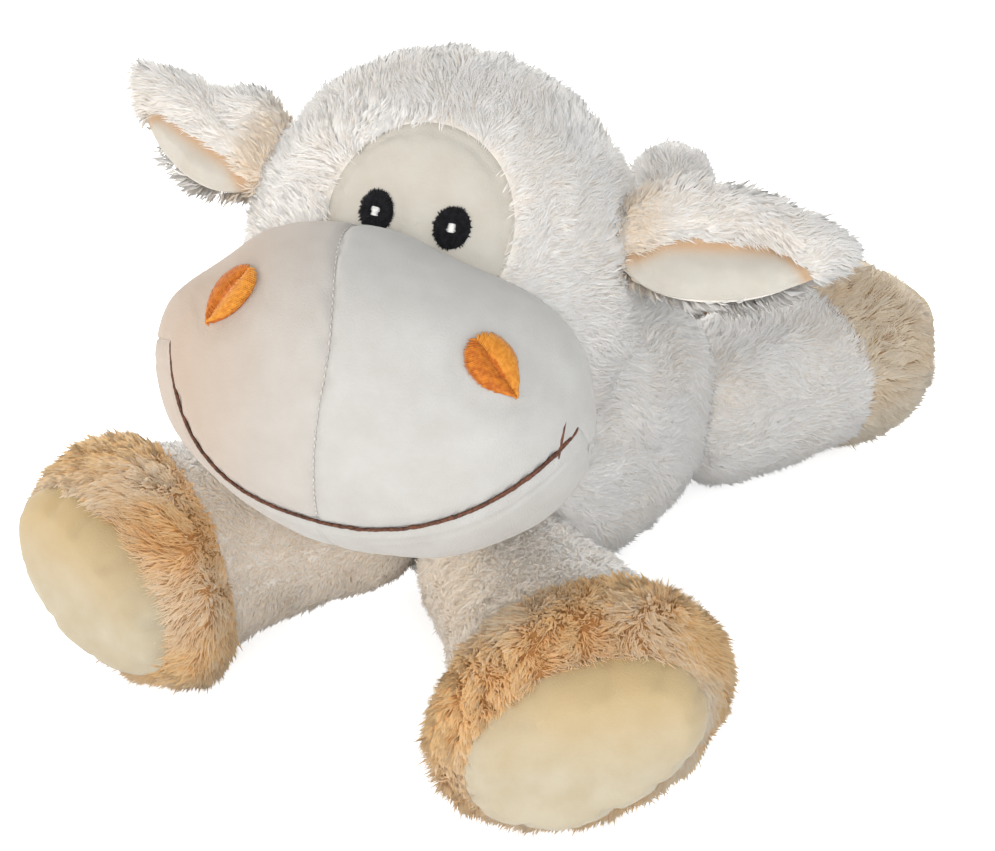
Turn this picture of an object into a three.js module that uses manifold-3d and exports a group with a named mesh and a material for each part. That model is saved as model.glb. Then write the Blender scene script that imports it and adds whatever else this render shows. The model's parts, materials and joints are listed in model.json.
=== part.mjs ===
// A plush sheep that lies on its belly: sewn covers of long and short pile over wads of stuffing.
// Millimetres, +Z up. The sheep looks along -Y, and its left side is +X.
// Body, head, muzzle, ears, legs and tail are swelling forms. A cover is a form hollowed by the
// thickness of its cloth, cut along its seams, and each wad is the same form drawn in under the cloth.
import * as THREE from "three";
import { mergeVertices } from "three/addons/utils/BufferGeometryUtils.js";
import Module from "manifold-3d";

const wasm = await Module();
wasm.setup();

// Cloth and clearances
const LONG_PILE = 8; // backing and pile of the shaggy covers
const SHORT_PILE = 4; // backing and pile of the smooth covers
const STITCH_HEIGHT = 1.4; // how far embroidery stands up
const SEAM_CLEARANCE = 0.3; // between pieces that are sewn or packed together
const JOINT_CLEARANCE = 0.6; // between pieces that move on each other
const WAD_CLEARANCE = 0.8; // between a leg's bent wad and its cover
const FLAT_DEPTH = 0.5; // how far the underside is pressed flat

// Body: a full pear, wider behind
const BODY_WIDTH = 118;
const BODY_LENGTH = 190;
const BODY_HEIGHT = 120;
const BODY_FULLNESS = 2.5; // 2 is an ellipsoid, more is boxier
const BODY_PEAR = 0.08; // share of the width gained at the back and lost at the front
const BELLY_SEAM_HEIGHT = (2 / 15) * BODY_HEIGHT;

// Head: an egg that sits on the neck, turned to one side and looking up
const HEAD_WIDTH = 154;
const HEAD_DEPTH = 118;
const HEAD_HEIGHT = 164;
const HEAD_TURN = 18.3; // towards the sheep's left
const HEAD_ROLL = 5.9; // left side lower
const HEAD_LIFT = 12.3; // nose up
const NECK_ON_BODY = new THREE.Vector3(0.06, -0.677, 0.736); // direction in the body's form
const NECK_ON_HEAD = new THREE.Vector3(0.058, 0.565, -0.831); // direction in the head's form
const NECK_SINK = 4; // how deep head and body sink into each other at the neck
const NECK_RADIUS = 26;
const NOD_UP = 14;
const NOD_DOWN = 3;
const LOOK_LEFT = 8;
const LOOK_RIGHT = 28;

// Muzzle: a broad cushion on the front of the head
const MUZZLE_WIDTH = 159;
const MUZZLE_DEPTH = 102;
const MUZZLE_HEIGHT = 120;
const MUZZLE_REACH = 6; // centre of the muzzle in front of the head's front
const MUZZLE_DROP = 34; // centre of the muzzle below the head's centre
const MUZZLE_DIP = 19.9; // turned down from the head
const MOUTH_LOW = 20; // middle of the mouth below the muzzle's centre
const MOUTH_RISE = 33; // corners of the mouth above its middle
const MOUTH_WIDTH = 150;
const MOUTH_CURVE = 2.2; // exponent of the smile
const MOUTH_THREAD = 2;
const NOSTRIL_SPACING = 94;
const NOSTRIL_SHIFT = 4; // both towards the sheep's left
const NOSTRIL_HEIGHT = 41; // above the muzzle's centre
const NOSTRIL_LENGTH = 26;
const NOSTRIL_WIDTH = 20;
const NOSTRIL_SLANT = 65; // outer end lower

// Face
const FACE_WIDTH = 68;
const FACE_SHIFT = 2; // smooth face and eyes towards the sheep's left
const FACE_TOP = 59; // top of the smooth face above the head's centre
const FACE_MIDDLE = 24; // widest place of the smooth face above the head's centre
const EYE_SPACING = 28.6;
const EYE_HEIGHT = 28; // above the head's centre
const EYE_WIDTH = 14;
const EYE_LENGTH = 16.5;
const HIGHLIGHT_SIZE = 3.4;

// Ears: flat leaves on the sides of the head
const EAR_LENGTH = 84;
const EAR_WIDTH = 50;
const EAR_THICKNESS = 14;
const EAR_TAPER = 0.22;
const EAR_ROOT_DEPTH = 10; // how far the uncut leaf starts inside the head
const EAR_ON_HEAD = new THREE.Vector3(0.92, -0.19, 0.33); // direction in the head's form
const EAR_SWEEP = 20; // tip towards the back
const EAR_RISE = 6; // tip up
const EAR_TWIST = 28; // lining turned down
const EAR_LINING_LENGTH = 62;
const EAR_LINING_WIDTH = 27;
const EAR_LINING_DROP = 10; // lining below the middle of the ear
const EAR_FORWARD = 20;
const EAR_BACK = 20;

// Legs: tubes that swell into oval feet
const HIP_STANDOFF = 8; // centre of a leg's round root outside the body
const SOLE_RADIUS = 29;
const SOLE_STRETCH = 1.55; // length of the oval sole over its width
const STRETCH_CURVE = 2.6; // exponent with which the leg's section becomes oval
const SOLE_DOME = 11;
const FOOT_ROLL = 28; // outer end of the oval up
const FOOT_TILT = 7; // sole looks up
const FRONT_LEG_LENGTH = 120; // from the hip to the sole's edge
const HIND_LEG_LENGTH = 104;
const FRONT_FOOT_LENGTH = 36; // tan cover, from its seam to the sole
const HIND_FOOT_LENGTH = 46;
const FRONT_LEG = {
  hip: new THREE.Vector3(0.553, -0.842, -0.258), forward: -1,
  length: FRONT_LEG_LENGTH, footLength: FRONT_FOOT_LENGTH,
  rootRadius: 34, calfRadius: 39, ankleRadius: 43, footRadius: 43, swingIn: 10, swingOut: 15,
};
const HIND_LEG = {
  hip: new THREE.Vector3(0.55, 0.85, -0.25), forward: 1,
  length: HIND_LEG_LENGTH, footLength: HIND_FOOT_LENGTH,
  rootRadius: 38, calfRadius: 42, ankleRadius: 44, footRadius: 48, swingIn: 2, swingOut: 20,
};
// Each leg lies its own way: how far it and its foot point outward
const LEGS = [
  { ...FRONT_LEG, name: "front_left", side: 1, splay: 65, footSplay: 38 },
  { ...FRONT_LEG, name: "front_right", side: -1, splay: 44, footSplay: 3 },
  { ...HIND_LEG, name: "hind_left", side: 1, splay: 16, footSplay: 14 },
  { ...HIND_LEG, name: "hind_right", side: -1, splay: 16, footSplay: 14 },
];

// Tail: a stub that stands up from the rump
const TAIL_RADIUS = 20;
const TAIL_ROOT_RADIUS = 15;
const TAIL_LENGTH = 46; // from the centre of its root to the centre of its round tip
const TAIL_LEAN = 24; // tip towards the back
const TAIL_STANDOFF = 6;
const TAIL_OPENING = -60; // latitude of the root's open edge
const TAIL_ON_BODY = new THREE.Vector3(0, 0.86, 0.62);
const TAIL_WAG = 20;

// Facets
const FORM_FACETS = [18, 11];
const WAD_FACETS = [12, 8]; // wads, and the inside of the covers over them
const LEG_FACETS = 14;
const BALL_FACETS = [12, 8];
const EAR_FACETS = [14, 8];
const MOUTH_STEPS = 18;
const OUTLINE_STEPS = 8; // to each curve of a cut outline
const PATCH_STEPS = 6; // to each curve of an embroidered patch
const CUTTER_SIZE = 400;

// Cloths and threads
const cloth = (color, roughness = 1) => new THREE.MeshStandardMaterial({ color, roughness, metalness: 0 });
const WHITE_PILE = cloth(0xebe8e2);
const CREAM_SHORT_PILE = cloth(0xece4d6);
const MUZZLE_SHORT_PILE = cloth(0xe2dfd9);
const TAN_PILE = cloth(0xc8a069);
const SOLE_SHORT_PILE = cloth(0xebd9b2);
const BLACK_THREAD = cloth(0x16150f, 0.6);
const WHITE_THREAD = cloth(0xf2f2ee, 0.6);
const GOLD_THREAD = cloth(0xd88a2a, 0.5);
const BROWN_THREAD = cloth(0x4a342a, 0.6);
const STUFFING = cloth(0xf4f4f2);

const UP = new THREE.Vector3(0, 0, 1);
const SIDES = { left: 1, right: -1 };
const radians = THREE.MathUtils.degToRad;

// Solids from geometry and back

function solidOf(geometry) {
  const bare = geometry.clone();
  bare.deleteAttribute("normal");
  bare.deleteAttribute("uv");
  const merged = mergeVertices(bare, 1e-3);
  const corners = [];
  for (let i = 0; i < merged.index.count; i += 3) {
    const [a, b, c] = merged.index.array.slice(i, i + 3);
    if (a !== b && b !== c && c !== a) corners.push(a, b, c); // slivers at a pole have no area
  }
  const mesh = new wasm.Mesh({
    numProp: 3,
    vertProperties: new Float32Array(merged.attributes.position.array),
    triVerts: new Uint32Array(corners),
  });
  return new wasm.Manifold(mesh);
}

function geometryOf(solid) {
  const mesh = solid.getMesh();
  const geometry = new THREE.BufferGeometry();
  geometry.setAttribute("position", new THREE.Float32BufferAttribute(mesh.vertProperties, 3));
  geometry.setIndex(new THREE.Uint32BufferAttribute(mesh.triVerts, 1));
  geometry.computeVertexNormals();
  return geometry;
}

const moved = (solid, matrix) => solid.transform(matrix.elements);
const joined = (solids) => solids.reduce((all, solid) => all.add(solid));
const cutBy = (solid, cutters) => cutters.reduce((rest, cutter) => rest.subtract(cutter), solid);

function turnAbout(point, axis, degrees) {
  const matrix = new THREE.Matrix4().makeTranslation(point);
  matrix.multiply(new THREE.Matrix4().makeRotationAxis(axis, radians(degrees)));
  return matrix.multiply(new THREE.Matrix4().makeTranslation(point.clone().negate()));
}

function reshaped(geometry, place) {
  const positions = geometry.attributes.position;
  const point = new THREE.Vector3();
  for (let i = 0; i < positions.count; i += 1) {
    place(point.fromBufferAttribute(positions, i));
    positions.setXYZ(i, point.x, point.y, point.z);
  }
  return geometry;
}

// A faceted ball whose flats, not its corners, lie at the radius, so that a ball turns freely in it.
// It is turned by half a facet, so that its flats face the corners of the ball that it holds.
function socket(centre, radius) {
  const ball = new THREE.SphereGeometry(radius / flatsOf(BALL_FACETS), ...BALL_FACETS);
  ball.rotateX(Math.PI / (2 * BALL_FACETS[1])).rotateY(Math.PI / BALL_FACETS[0]);
  return solidOf(ball.translate(centre.x, centre.y, centre.z));
}

// Distance of a faceted ball's flats from its centre, over that of its corners
function flatsOf([around, down]) {
  return Math.cos(Math.PI / around) * Math.cos(Math.PI / (2 * down));
}

function ellipsoid(radii, facets) {
  return solidOf(new THREE.SphereGeometry(1, ...facets).scale(radii.x, radii.y, radii.z));
}

// All that lies on the far side of a plane, as a large block
function beyond(point, normal) {
  const block = new THREE.BoxGeometry(CUTTER_SIZE, CUTTER_SIZE, CUTTER_SIZE);
  block.translate(0, 0, CUTTER_SIZE / 2);
  const turn = new THREE.Quaternion().setFromUnitVectors(UP, normal.clone().normalize());
  return solidOf(block.applyQuaternion(turn).translate(point.x, point.y, point.z));
}

const FLOOR = beyond(new THREE.Vector3(), UP.clone().negate());

// Scene groups, one for each body that moves

const sheep = new THREE.Group();

function bodyGroup(name, parent, pivot) {
  const group = new THREE.Group();
  group.name = name;
  group.position.copy(parent.worldToLocal(pivot.clone()));
  parent.add(group);
  group.updateMatrixWorld(true);
  return group;
}

function addPiece(group, name, solid, material) {
  const local = moved(solid, group.matrixWorld.clone().invert());
  const mesh = new THREE.Mesh(geometryOf(local), material);
  mesh.name = name;
  group.add(mesh);
}

// Body form: a superellipsoid with a pear's taper

const bodyCentre = new THREE.Vector3(0, 0, BODY_HEIGHT / 2 - FLAT_DEPTH);

function bodyPoint(direction, growth = 0) {
  const powers = direction.toArray().map((part) => Math.abs(part) ** BODY_FULLNESS);
  const reach = (powers[0] + powers[1] + powers[2]) ** (-1 / BODY_FULLNESS);
  const point = direction.clone().multiplyScalar(reach);
  const halfWidth = (BODY_WIDTH / 2) * (1 + BODY_PEAR * point.y) + growth;
  point.multiply(new THREE.Vector3(halfWidth, BODY_LENGTH / 2 + growth, BODY_HEIGHT / 2 + growth));
  return point.add(bodyCentre);
}

function bodyForm(growth, facets = FORM_FACETS) {
  const ball = new THREE.SphereGeometry(1, ...facets);
  return solidOf(reshaped(ball, (point) => point.copy(bodyPoint(point.clone(), growth))));
}

// Head form and its place on the neck

const headRadii = new THREE.Vector3(HEAD_WIDTH, HEAD_DEPTH, HEAD_HEIGHT).divideScalar(2);
const headTurn = new THREE.Euler(radians(-HEAD_LIFT), radians(HEAD_ROLL), radians(HEAD_TURN), "ZYX");

// Point of an ellipsoid's surface in a direction of its unit ball
const onEllipsoid = (direction, radii) => direction.clone().normalize().multiply(radii);

const neckOnBody = bodyPoint(NECK_ON_BODY);
const neckInHead = onEllipsoid(NECK_ON_HEAD, headRadii);
const neckCentre = neckOnBody.clone().sub(new THREE.Vector3(0, 0, NECK_SINK));
const headCentre = neckOnBody.clone().sub(neckInHead.clone().applyEuler(headTurn));
headCentre.z -= 2 * NECK_SINK;
const headPlace = new THREE.Matrix4().makeRotationFromEuler(headTurn).setPosition(headCentre);
const nodAxis = new THREE.Vector3(1, 0, 0).applyEuler(headTurn);

const grown = (radii, growth) => radii.clone().addScalar(growth);
const headForm = (growth, facets = FORM_FACETS) =>
  moved(ellipsoid(grown(headRadii, growth), facets), headPlace);

// Muzzle form, in a frame of its own that dips from the head's

const muzzleRadii = new THREE.Vector3(MUZZLE_WIDTH, MUZZLE_DEPTH, MUZZLE_HEIGHT).divideScalar(2);
const muzzleOffset = new THREE.Vector3(0, -HEAD_DEPTH / 2 - MUZZLE_REACH, -MUZZLE_DROP);
const muzzlePlace = headPlace.clone()
  .multiply(new THREE.Matrix4().makeTranslation(muzzleOffset))
  .multiply(new THREE.Matrix4().makeRotationX(radians(MUZZLE_DIP)));
const muzzleForm = (growth, facets = FORM_FACETS) =>
  moved(ellipsoid(grown(muzzleRadii, growth), facets), muzzlePlace);

// Leg form: a profile turned about the leg's centre line, widened to an oval and bent along that line

function legForm(leg) {
  const outward = radians(leg.splay);
  const footOutward = radians(leg.footSplay);
  const tilt = radians(FOOT_TILT);
  const start = new THREE.Vector3(Math.sin(outward), leg.forward * Math.cos(outward), 0);
  const end = new THREE.Vector3(Math.sin(footOutward), leg.forward * Math.cos(footOutward), 0);
  end.multiplyScalar(Math.cos(tilt)).setZ(Math.sin(tilt));
  const hip = bodyPoint(leg.hip).addScaledVector(start, HIP_STANDOFF);
  const roll = radians(FOOT_ROLL);
  const ovalAxis = new THREE.Vector2(leg.forward * Math.cos(roll), Math.sin(roll));

  // Half of the line leaves the hip, and half of it arrives along the foot
  const lineThrough = (bendHeight) => {
    const bend = hip.clone().addScaledVector(start, leg.length / 2).setZ(bendHeight);
    const sole = bend.clone().addScaledVector(end, leg.length / 2);
    return new THREE.QuadraticBezierCurve3(hip, bend, sole);
  };

  const placeOn = (line) => {
    const length = line.getLength();
    return (point) => {
      const along = THREE.MathUtils.clamp(point.y, 0, length);
      const stretch = 1 + (SOLE_STRETCH - 1) * (along / length) ** STRETCH_CURVE;
      const across = new THREE.Vector2(point.x, point.z);
      across.addScaledVector(ovalAxis, across.dot(ovalAxis) * (stretch - 1));
      const ahead = line.getTangentAt(along / length);
      const sideways = ahead.clone().cross(UP).normalize();
      const upward = sideways.clone().cross(ahead);
      const past = point.y - along;
      point.copy(line.getPointAt(along / length));
      point.addScaledVector(ahead, past);
      point.addScaledVector(sideways, across.x).addScaledVector(upward, across.y);
    };
  };

  // The foot is brought down until its underside is pressed flat on the floor
  const trial = lineThrough(hip.z);
  const trialFoot = new THREE.LatheGeometry(footProfile(leg, trial.getLength(), 0), LEG_FACETS);
  reshaped(trialFoot, placeOn(trial)).computeBoundingBox();
  const lowest = trialFoot.boundingBox.min.z;
  const line = lineThrough(hip.z - lowest - FLAT_DEPTH);
  return { hip, length: line.getLength(), place: placeOn(line) };
}

function turned(profile, facets, place) {
  return solidOf(reshaped(new THREE.LatheGeometry(profile, facets), place));
}

function arc(centre, radius, height, from, to, steps) {
  return Array.from({ length: steps + 1 }, (unused, i) => {
    const angle = radians(from + ((to - from) * i) / steps);
    return new THREE.Vector2(Math.max(radius * Math.cos(angle), 0), centre + height * Math.sin(angle));
  });
}

function spline(points, steps) {
  const curve = new THREE.SplineCurve(points.map((p) => new THREE.Vector2(...p)));
  return curve.getPoints(steps);
}

// Outer profile of the white sleeve, drawn in by an inset: round root, calf and ankle seam
function sleeveProfile(leg, length, inset, steps) {
  const seam = length - leg.footLength;
  const rootRadius = leg.rootRadius - inset;
  const root = arc(0, rootRadius, rootRadius, -90, 0, steps);
  const stations = [[leg.rootRadius, 0], [leg.calfRadius, seam / 2], [leg.ankleRadius, seam]];
  const shank = spline(stations.map(([radius, along]) => [radius - inset, along]), steps);
  return [...root, ...shank.slice(1)];
}

// Outer profile of the tan foot, from the ankle seam to the sole's edge
function footProfile(leg, length, inset, steps = 4) {
  const seam = length - leg.footLength;
  const stations = [[leg.ankleRadius, seam], [leg.footRadius, seam + leg.footLength / 2], [SOLE_RADIUS, length]];
  return spline(stations.map(([radius, along]) => [radius - inset, along]), steps);
}

const soleProfile = (length, steps) => arc(length, SOLE_RADIUS, SOLE_DOME, 0, 90, steps);
const shifted = (profile, offset) => profile.map((p) => new THREE.Vector2(p.x, p.y + offset));
const onAxis = (along) => new THREE.Vector2(0, along);

// Builds one leg as a left leg, mirrors it for the right, and returns the hollow that its root needs
function addLeg(leg) {
  const { hip, length, place } = legForm(leg);
  const wad = LONG_PILE + WAD_CLEARANCE;
  const bodyInWay = bodyForm(JOINT_CLEARANCE).subtract(socket(hip, leg.rootRadius + SEAM_CLEARANCE));
  const swings = [-leg.swingIn, -leg.swingIn / 2, 0, leg.swingOut / 2, leg.swingOut];
  const sweep = swings.map((swing) => moved(bodyInWay, turnAbout(hip, UP, leg.forward * swing)));

  const sleeveInside = sleeveProfile(leg, length, LONG_PILE, 3).reverse();
  const sleeve = [...sleeveProfile(leg, length, 0, 4), ...sleeveInside];
  const foot = [...footProfile(leg, length, 0), ...footProfile(leg, length, LONG_PILE, 3).reverse()];
  foot.push(foot[0].clone());
  const sole = [onAxis(length), ...soleProfile(length, 3)];
  const footCore = shifted(footProfile(leg, length, wad, 3), SEAM_CLEARANCE);
  const core = [...sleeveProfile(leg, length, wad, 3), ...footCore, onAxis(footCore.at(-1).y)];
  const pieces = {
    sleeve: [sleeve, WHITE_PILE],
    foot_cover: [shifted(foot, SEAM_CLEARANCE), TAN_PILE],
    sole_pad: [shifted(sole, 2 * SEAM_CLEARANCE), SOLE_SHORT_PILE],
    leg_stuffing: [core, STUFFING],
  };
  const handed = (solid) => (leg.side > 0 ? solid : solid.mirror([1, 0, 0]));
  const pivot = hip.clone().multiply(new THREE.Vector3(leg.side, 1, 1));
  const group = bodyGroup(`${leg.name}_leg`, sheep, pivot);
  for (const [piece, [profile, material]] of Object.entries(pieces)) {
    const solid = cutBy(turned(profile, LEG_FACETS, place), [...sweep, FLOOR]);
    addPiece(group, `${leg.name}_${piece}`, handed(solid), material);
  }
  return socket(pivot, leg.rootRadius + JOINT_CLEARANCE);
}

// Tail: round root in the rump, swelling to a round tip

function addTail() {
  const lean = radians(TAIL_LEAN);
  const axis = new THREE.Vector3(0, Math.sin(lean), Math.cos(lean));
  const root = bodyPoint(TAIL_ON_BODY).addScaledVector(axis, TAIL_STANDOFF);
  const turn = new THREE.Quaternion().setFromUnitVectors(new THREE.Vector3(0, 1, 0), axis);
  const place = (point) => point.applyQuaternion(turn).add(root);
  const profile = (inset, from) => [
    ...arc(0, TAIL_ROOT_RADIUS - inset, TAIL_ROOT_RADIUS - inset, from, 0, 3),
    ...arc(TAIL_LENGTH, TAIL_RADIUS - inset, TAIL_RADIUS - inset, 0, 90, 3),
  ];
  const skin = [...profile(0, TAIL_OPENING), ...profile(LONG_PILE, TAIL_OPENING).reverse()];
  skin.push(skin[0].clone());
  const rumpInWay = bodyForm(JOINT_CLEARANCE).subtract(socket(root, TAIL_ROOT_RADIUS + SEAM_CLEARANCE));
  const wagAxis = new THREE.Vector3(0, 1, 0);
  const sweep = [-TAIL_WAG, 0, TAIL_WAG].map((wag) => moved(rumpInWay, turnAbout(root, wagAxis, wag)));
  const group = bodyGroup("tail", sheep, root);
  addPiece(group, "tail_cover", cutBy(turned(skin, LEG_FACETS, place), sweep), WHITE_PILE);
  const wad = turned(profile(LONG_PILE + SEAM_CLEARANCE, -90), LEG_FACETS, place);
  addPiece(group, "tail_stuffing", cutBy(wad, sweep), STUFFING);
  return socket(root, TAIL_ROOT_RADIUS + JOINT_CLEARANCE);
}

// Body covers and wad, hollowed where legs, tail and head are sewn on

function headSweep(growth) {
  const radii = grown(headRadii, growth).divideScalar(flatsOf(WAD_FACETS));
  const form = moved(ellipsoid(radii, WAD_FACETS), headPlace);
  const poses = [];
  for (const look of [-LOOK_RIGHT, 0, LOOK_LEFT]) {
    for (const nod of [-NOD_UP, 0, NOD_DOWN]) {
      const turn = turnAbout(neckCentre, UP, look).multiply(turnAbout(neckCentre, nodAxis, nod));
      poses.push(moved(form, turn));
    }
  }
  return joined(poses);
}

function addBody(sockets) {
  const neckSocket = socket(neckCentre, NECK_RADIUS + JOINT_CLEARANCE);
  const cutters = [...sockets, neckSocket, headSweep(JOINT_CLEARANCE), FLOOR];
  const half = SEAM_CLEARANCE / 2;
  const shell = cutBy(bodyForm(0).subtract(bodyForm(-LONG_PILE, WAD_FACETS)), cutters);
  const aboveBelly = beyond(new THREE.Vector3(0, 0, BELLY_SEAM_HEIGHT + half), UP);
  const belowBack = beyond(new THREE.Vector3(0, 0, BELLY_SEAM_HEIGHT - half), UP.clone().negate());
  for (const [side, sign] of Object.entries(SIDES)) {
    const outward = new THREE.Vector3(sign, 0, 0);
    const halfSpace = beyond(outward.clone().multiplyScalar(half), outward);
    addPiece(sheep, `body_${side}_panel`, shell.intersect(aboveBelly).intersect(halfSpace), WHITE_PILE);
  }
  addPiece(sheep, "belly_panel", shell.intersect(belowBack), WHITE_PILE);
  const wad = bodyForm(-LONG_PILE - SEAM_CLEARANCE, WAD_FACETS);
  addPiece(sheep, "body_stuffing", cutBy(wad, cutters), STUFFING);
}

function extruded(shape, depth, curveSegments = OUTLINE_STEPS) {
  return new THREE.ExtrudeGeometry(shape, { depth, bevelEnabled: false, curveSegments });
}

// Prism of an outline, standing on a surface point and running along its normal
function prism(shape, point, normal, place, depth, spin = 0) {
  const solid = extruded(shape, depth, PATCH_STEPS);
  solid.translate(0, 0, -depth / 2).rotateZ(radians(spin));
  const facing = new THREE.Matrix4().lookAt(normal, new THREE.Vector3(), UP);
  return moved(solidOf(solid.applyMatrix4(facing).translate(point.x, point.y, point.z)), place);
}

// Surface point of an ellipsoid's front for a place across and up, and the normal there
function frontPoint(radii, across, up) {
  const depth = Math.sqrt(1 - (across / radii.x) ** 2 - (up / radii.z) ** 2);
  return new THREE.Vector3(across, -radii.y * depth, up);
}

const normalAt = (point, radii) => point.clone().divide(radii).divide(radii).normalize();

function oval(width, height) {
  return new THREE.Shape().absellipse(0, 0, width / 2, height / 2, 0, 2 * Math.PI);
}

// Leaf with one pointed end
function leaf(length, width) {
  const shape = new THREE.Shape().moveTo(length / 2, 0);
  shape.quadraticCurveTo(length / 4, width * 0.55, -length / 8, width / 2);
  shape.bezierCurveTo(-length * 0.62, width * 0.42, -length * 0.62, -width * 0.42, -length / 8, -width / 2);
  return shape.quadraticCurveTo(length / 4, -width * 0.55, length / 2, 0);
}

function mouthHeight(across) {
  const share = Math.abs((2 * across) / MOUTH_WIDTH);
  return MOUTH_RISE * share ** MOUTH_CURVE - MOUTH_LOW;
}

// Points along the mouth's curve, moved up or down by an offset
function mouthLine(halfWidth, offset, steps) {
  return Array.from({ length: steps + 1 }, (unused, i) => {
    const across = halfWidth * ((2 * i) / steps - 1);
    return new THREE.Vector2(across, mouthHeight(across) + offset);
  });
}

// All that an outline in the muzzle's width and height covers, from its middle to far in front
function frontOf(shape, place) {
  return moved(solidOf(extruded(shape, CUTTER_SIZE).rotateX(Math.PI / 2)), place);
}

function belowMouth(offset) {
  const reach = MUZZLE_WIDTH;
  const line = mouthLine(reach, offset, 2 * MOUTH_STEPS);
  const chin = [new THREE.Vector2(reach, -reach), new THREE.Vector2(-reach, -reach)];
  const block = extruded(new THREE.Shape([...line, ...chin]), CUTTER_SIZE);
  block.translate(0, 0, -CUTTER_SIZE / 2).rotateX(Math.PI / 2);
  return moved(solidOf(block), muzzlePlace);
}

function addMuzzle(group) {
  const headInWay = headForm(SEAM_CLEARANCE);
  const shell = muzzleForm(0).subtract(muzzleForm(-SHORT_PILE, WAD_FACETS)).subtract(headInWay);
  const half = SEAM_CLEARANCE / 2;
  for (const [side, sign] of Object.entries(SIDES)) {
    const outward = new THREE.Vector3(sign, 0, 0);
    const halfSpace = moved(beyond(outward.clone().multiplyScalar(half), outward), muzzlePlace);
    const panel = shell.intersect(halfSpace).subtract(belowMouth(half));
    addPiece(group, `muzzle_${side}_panel`, panel, MUZZLE_SHORT_PILE);
  }
  addPiece(group, "chin_panel", shell.intersect(belowMouth(-half)), MUZZLE_SHORT_PILE);
  const wad = muzzleForm(-SHORT_PILE - SEAM_CLEARANCE, WAD_FACETS);
  const headWadInWay = headForm(SEAM_CLEARANCE - LONG_PILE, WAD_FACETS);
  addPiece(group, "muzzle_stuffing", wad.subtract(headWadInWay), STUFFING);

  const raised = muzzleForm(SEAM_CLEARANCE + STITCH_HEIGHT).subtract(muzzleForm(SEAM_CLEARANCE));
  const thread = MOUTH_THREAD / 2;
  const lower = mouthLine(MOUTH_WIDTH / 2, -thread, MOUTH_STEPS);
  const upper = mouthLine(MOUTH_WIDTH / 2, thread, MOUTH_STEPS);
  const stitch = frontOf(new THREE.Shape([...lower, ...upper.reverse()]), muzzlePlace);
  addPiece(group, "mouth_stitch", raised.intersect(stitch), BROWN_THREAD);
  for (const [side, sign] of Object.entries(SIDES)) {
    const across = (sign * NOSTRIL_SPACING) / 2 + NOSTRIL_SHIFT;
    const point = frontPoint(muzzleRadii, across, NOSTRIL_HEIGHT);
    const outline = leaf(NOSTRIL_LENGTH, NOSTRIL_WIDTH);
    const spin = sign > 0 ? -NOSTRIL_SLANT : 180 + NOSTRIL_SLANT;
    const plug = prism(outline, point, normalAt(point, muzzleRadii), muzzlePlace, NOSTRIL_WIDTH, spin);
    addPiece(group, `nostril_${side}`, raised.intersect(plug), GOLD_THREAD);
  }
}

function addFace(group, faceOutline) {
  const smooth = headForm(-LONG_PILE + SHORT_PILE).subtract(headForm(-LONG_PILE, WAD_FACETS));
  const muzzleInWay = muzzleForm(-SHORT_PILE, WAD_FACETS);
  addPiece(group, "face_patch", smooth.intersect(faceOutline(0)).subtract(muzzleInWay), CREAM_SHORT_PILE);

  const base = SEAM_CLEARANCE - LONG_PILE + SHORT_PILE;
  const eyeRadii = grown(headRadii, base);
  const eyeLayer = headForm(base + STITCH_HEIGHT).subtract(headForm(base));
  const lightBase = base + STITCH_HEIGHT + SEAM_CLEARANCE;
  const lightLayer = headForm(lightBase + STITCH_HEIGHT / 2).subtract(headForm(lightBase));
  for (const [side, sign] of Object.entries(SIDES)) {
    const point = frontPoint(eyeRadii, (sign * EYE_SPACING) / 2 + FACE_SHIFT, EYE_HEIGHT);
    const normal = normalAt(point, eyeRadii);
    const disc = prism(oval(EYE_WIDTH, EYE_LENGTH), point, normal, headPlace, EYE_WIDTH);
    const muzzleTop = muzzleForm(SEAM_CLEARANCE);
    addPiece(group, `eye_${side}`, eyeLayer.intersect(disc).subtract(muzzleTop), BLACK_THREAD);
    const dot = prism(oval(HIGHLIGHT_SIZE, HIGHLIGHT_SIZE), point, normal, headPlace, EYE_WIDTH);
    addPiece(group, `eye_highlight_${side}`, lightLayer.intersect(dot), WHITE_THREAD);
  }
}

function addHead() {
  const neckGroup = bodyGroup("neck", sheep, neckCentre);
  const neckBall = new THREE.SphereGeometry(NECK_RADIUS, ...BALL_FACETS);
  neckBall.translate(neckCentre.x, neckCentre.y, neckCentre.z);
  addPiece(neckGroup, "neck_stuffing", solidOf(neckBall), STUFFING);

  const group = bodyGroup("head", neckGroup, neckCentre);
  const neckSocket = socket(neckCentre, NECK_RADIUS + JOINT_CLEARANCE);
  const faceOutline = (growth) => {
    const shape = oval(FACE_WIDTH + 2 * growth, 2 * (FACE_TOP - FACE_MIDDLE + growth));
    const middle = new THREE.Matrix4().makeTranslation(FACE_SHIFT, 0, FACE_MIDDLE);
    return frontOf(shape, headPlace.clone().multiply(middle));
  };
  const shell = cutBy(headForm(0).subtract(headForm(-LONG_PILE, WAD_FACETS)), [
    neckSocket, faceOutline(SEAM_CLEARANCE), muzzleForm(-SHORT_PILE, WAD_FACETS),
  ]);
  const half = SEAM_CLEARANCE / 2;
  for (const [side, sign] of Object.entries(SIDES)) {
    const outward = new THREE.Vector3(sign, 0, 0);
    const halfSpace = moved(beyond(outward.clone().multiplyScalar(half), outward), headPlace);
    addPiece(group, `head_${side}_panel`, shell.intersect(halfSpace), WHITE_PILE);
  }
  const wad = headForm(-LONG_PILE - SEAM_CLEARANCE, WAD_FACETS);
  addPiece(group, "head_stuffing", wad.subtract(neckSocket), STUFFING);
  addFace(group, faceOutline);
  addMuzzle(group);
  addEars(group);
}

// Ears: x runs to the tip, z across the leaf and y through it, lining in front

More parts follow.
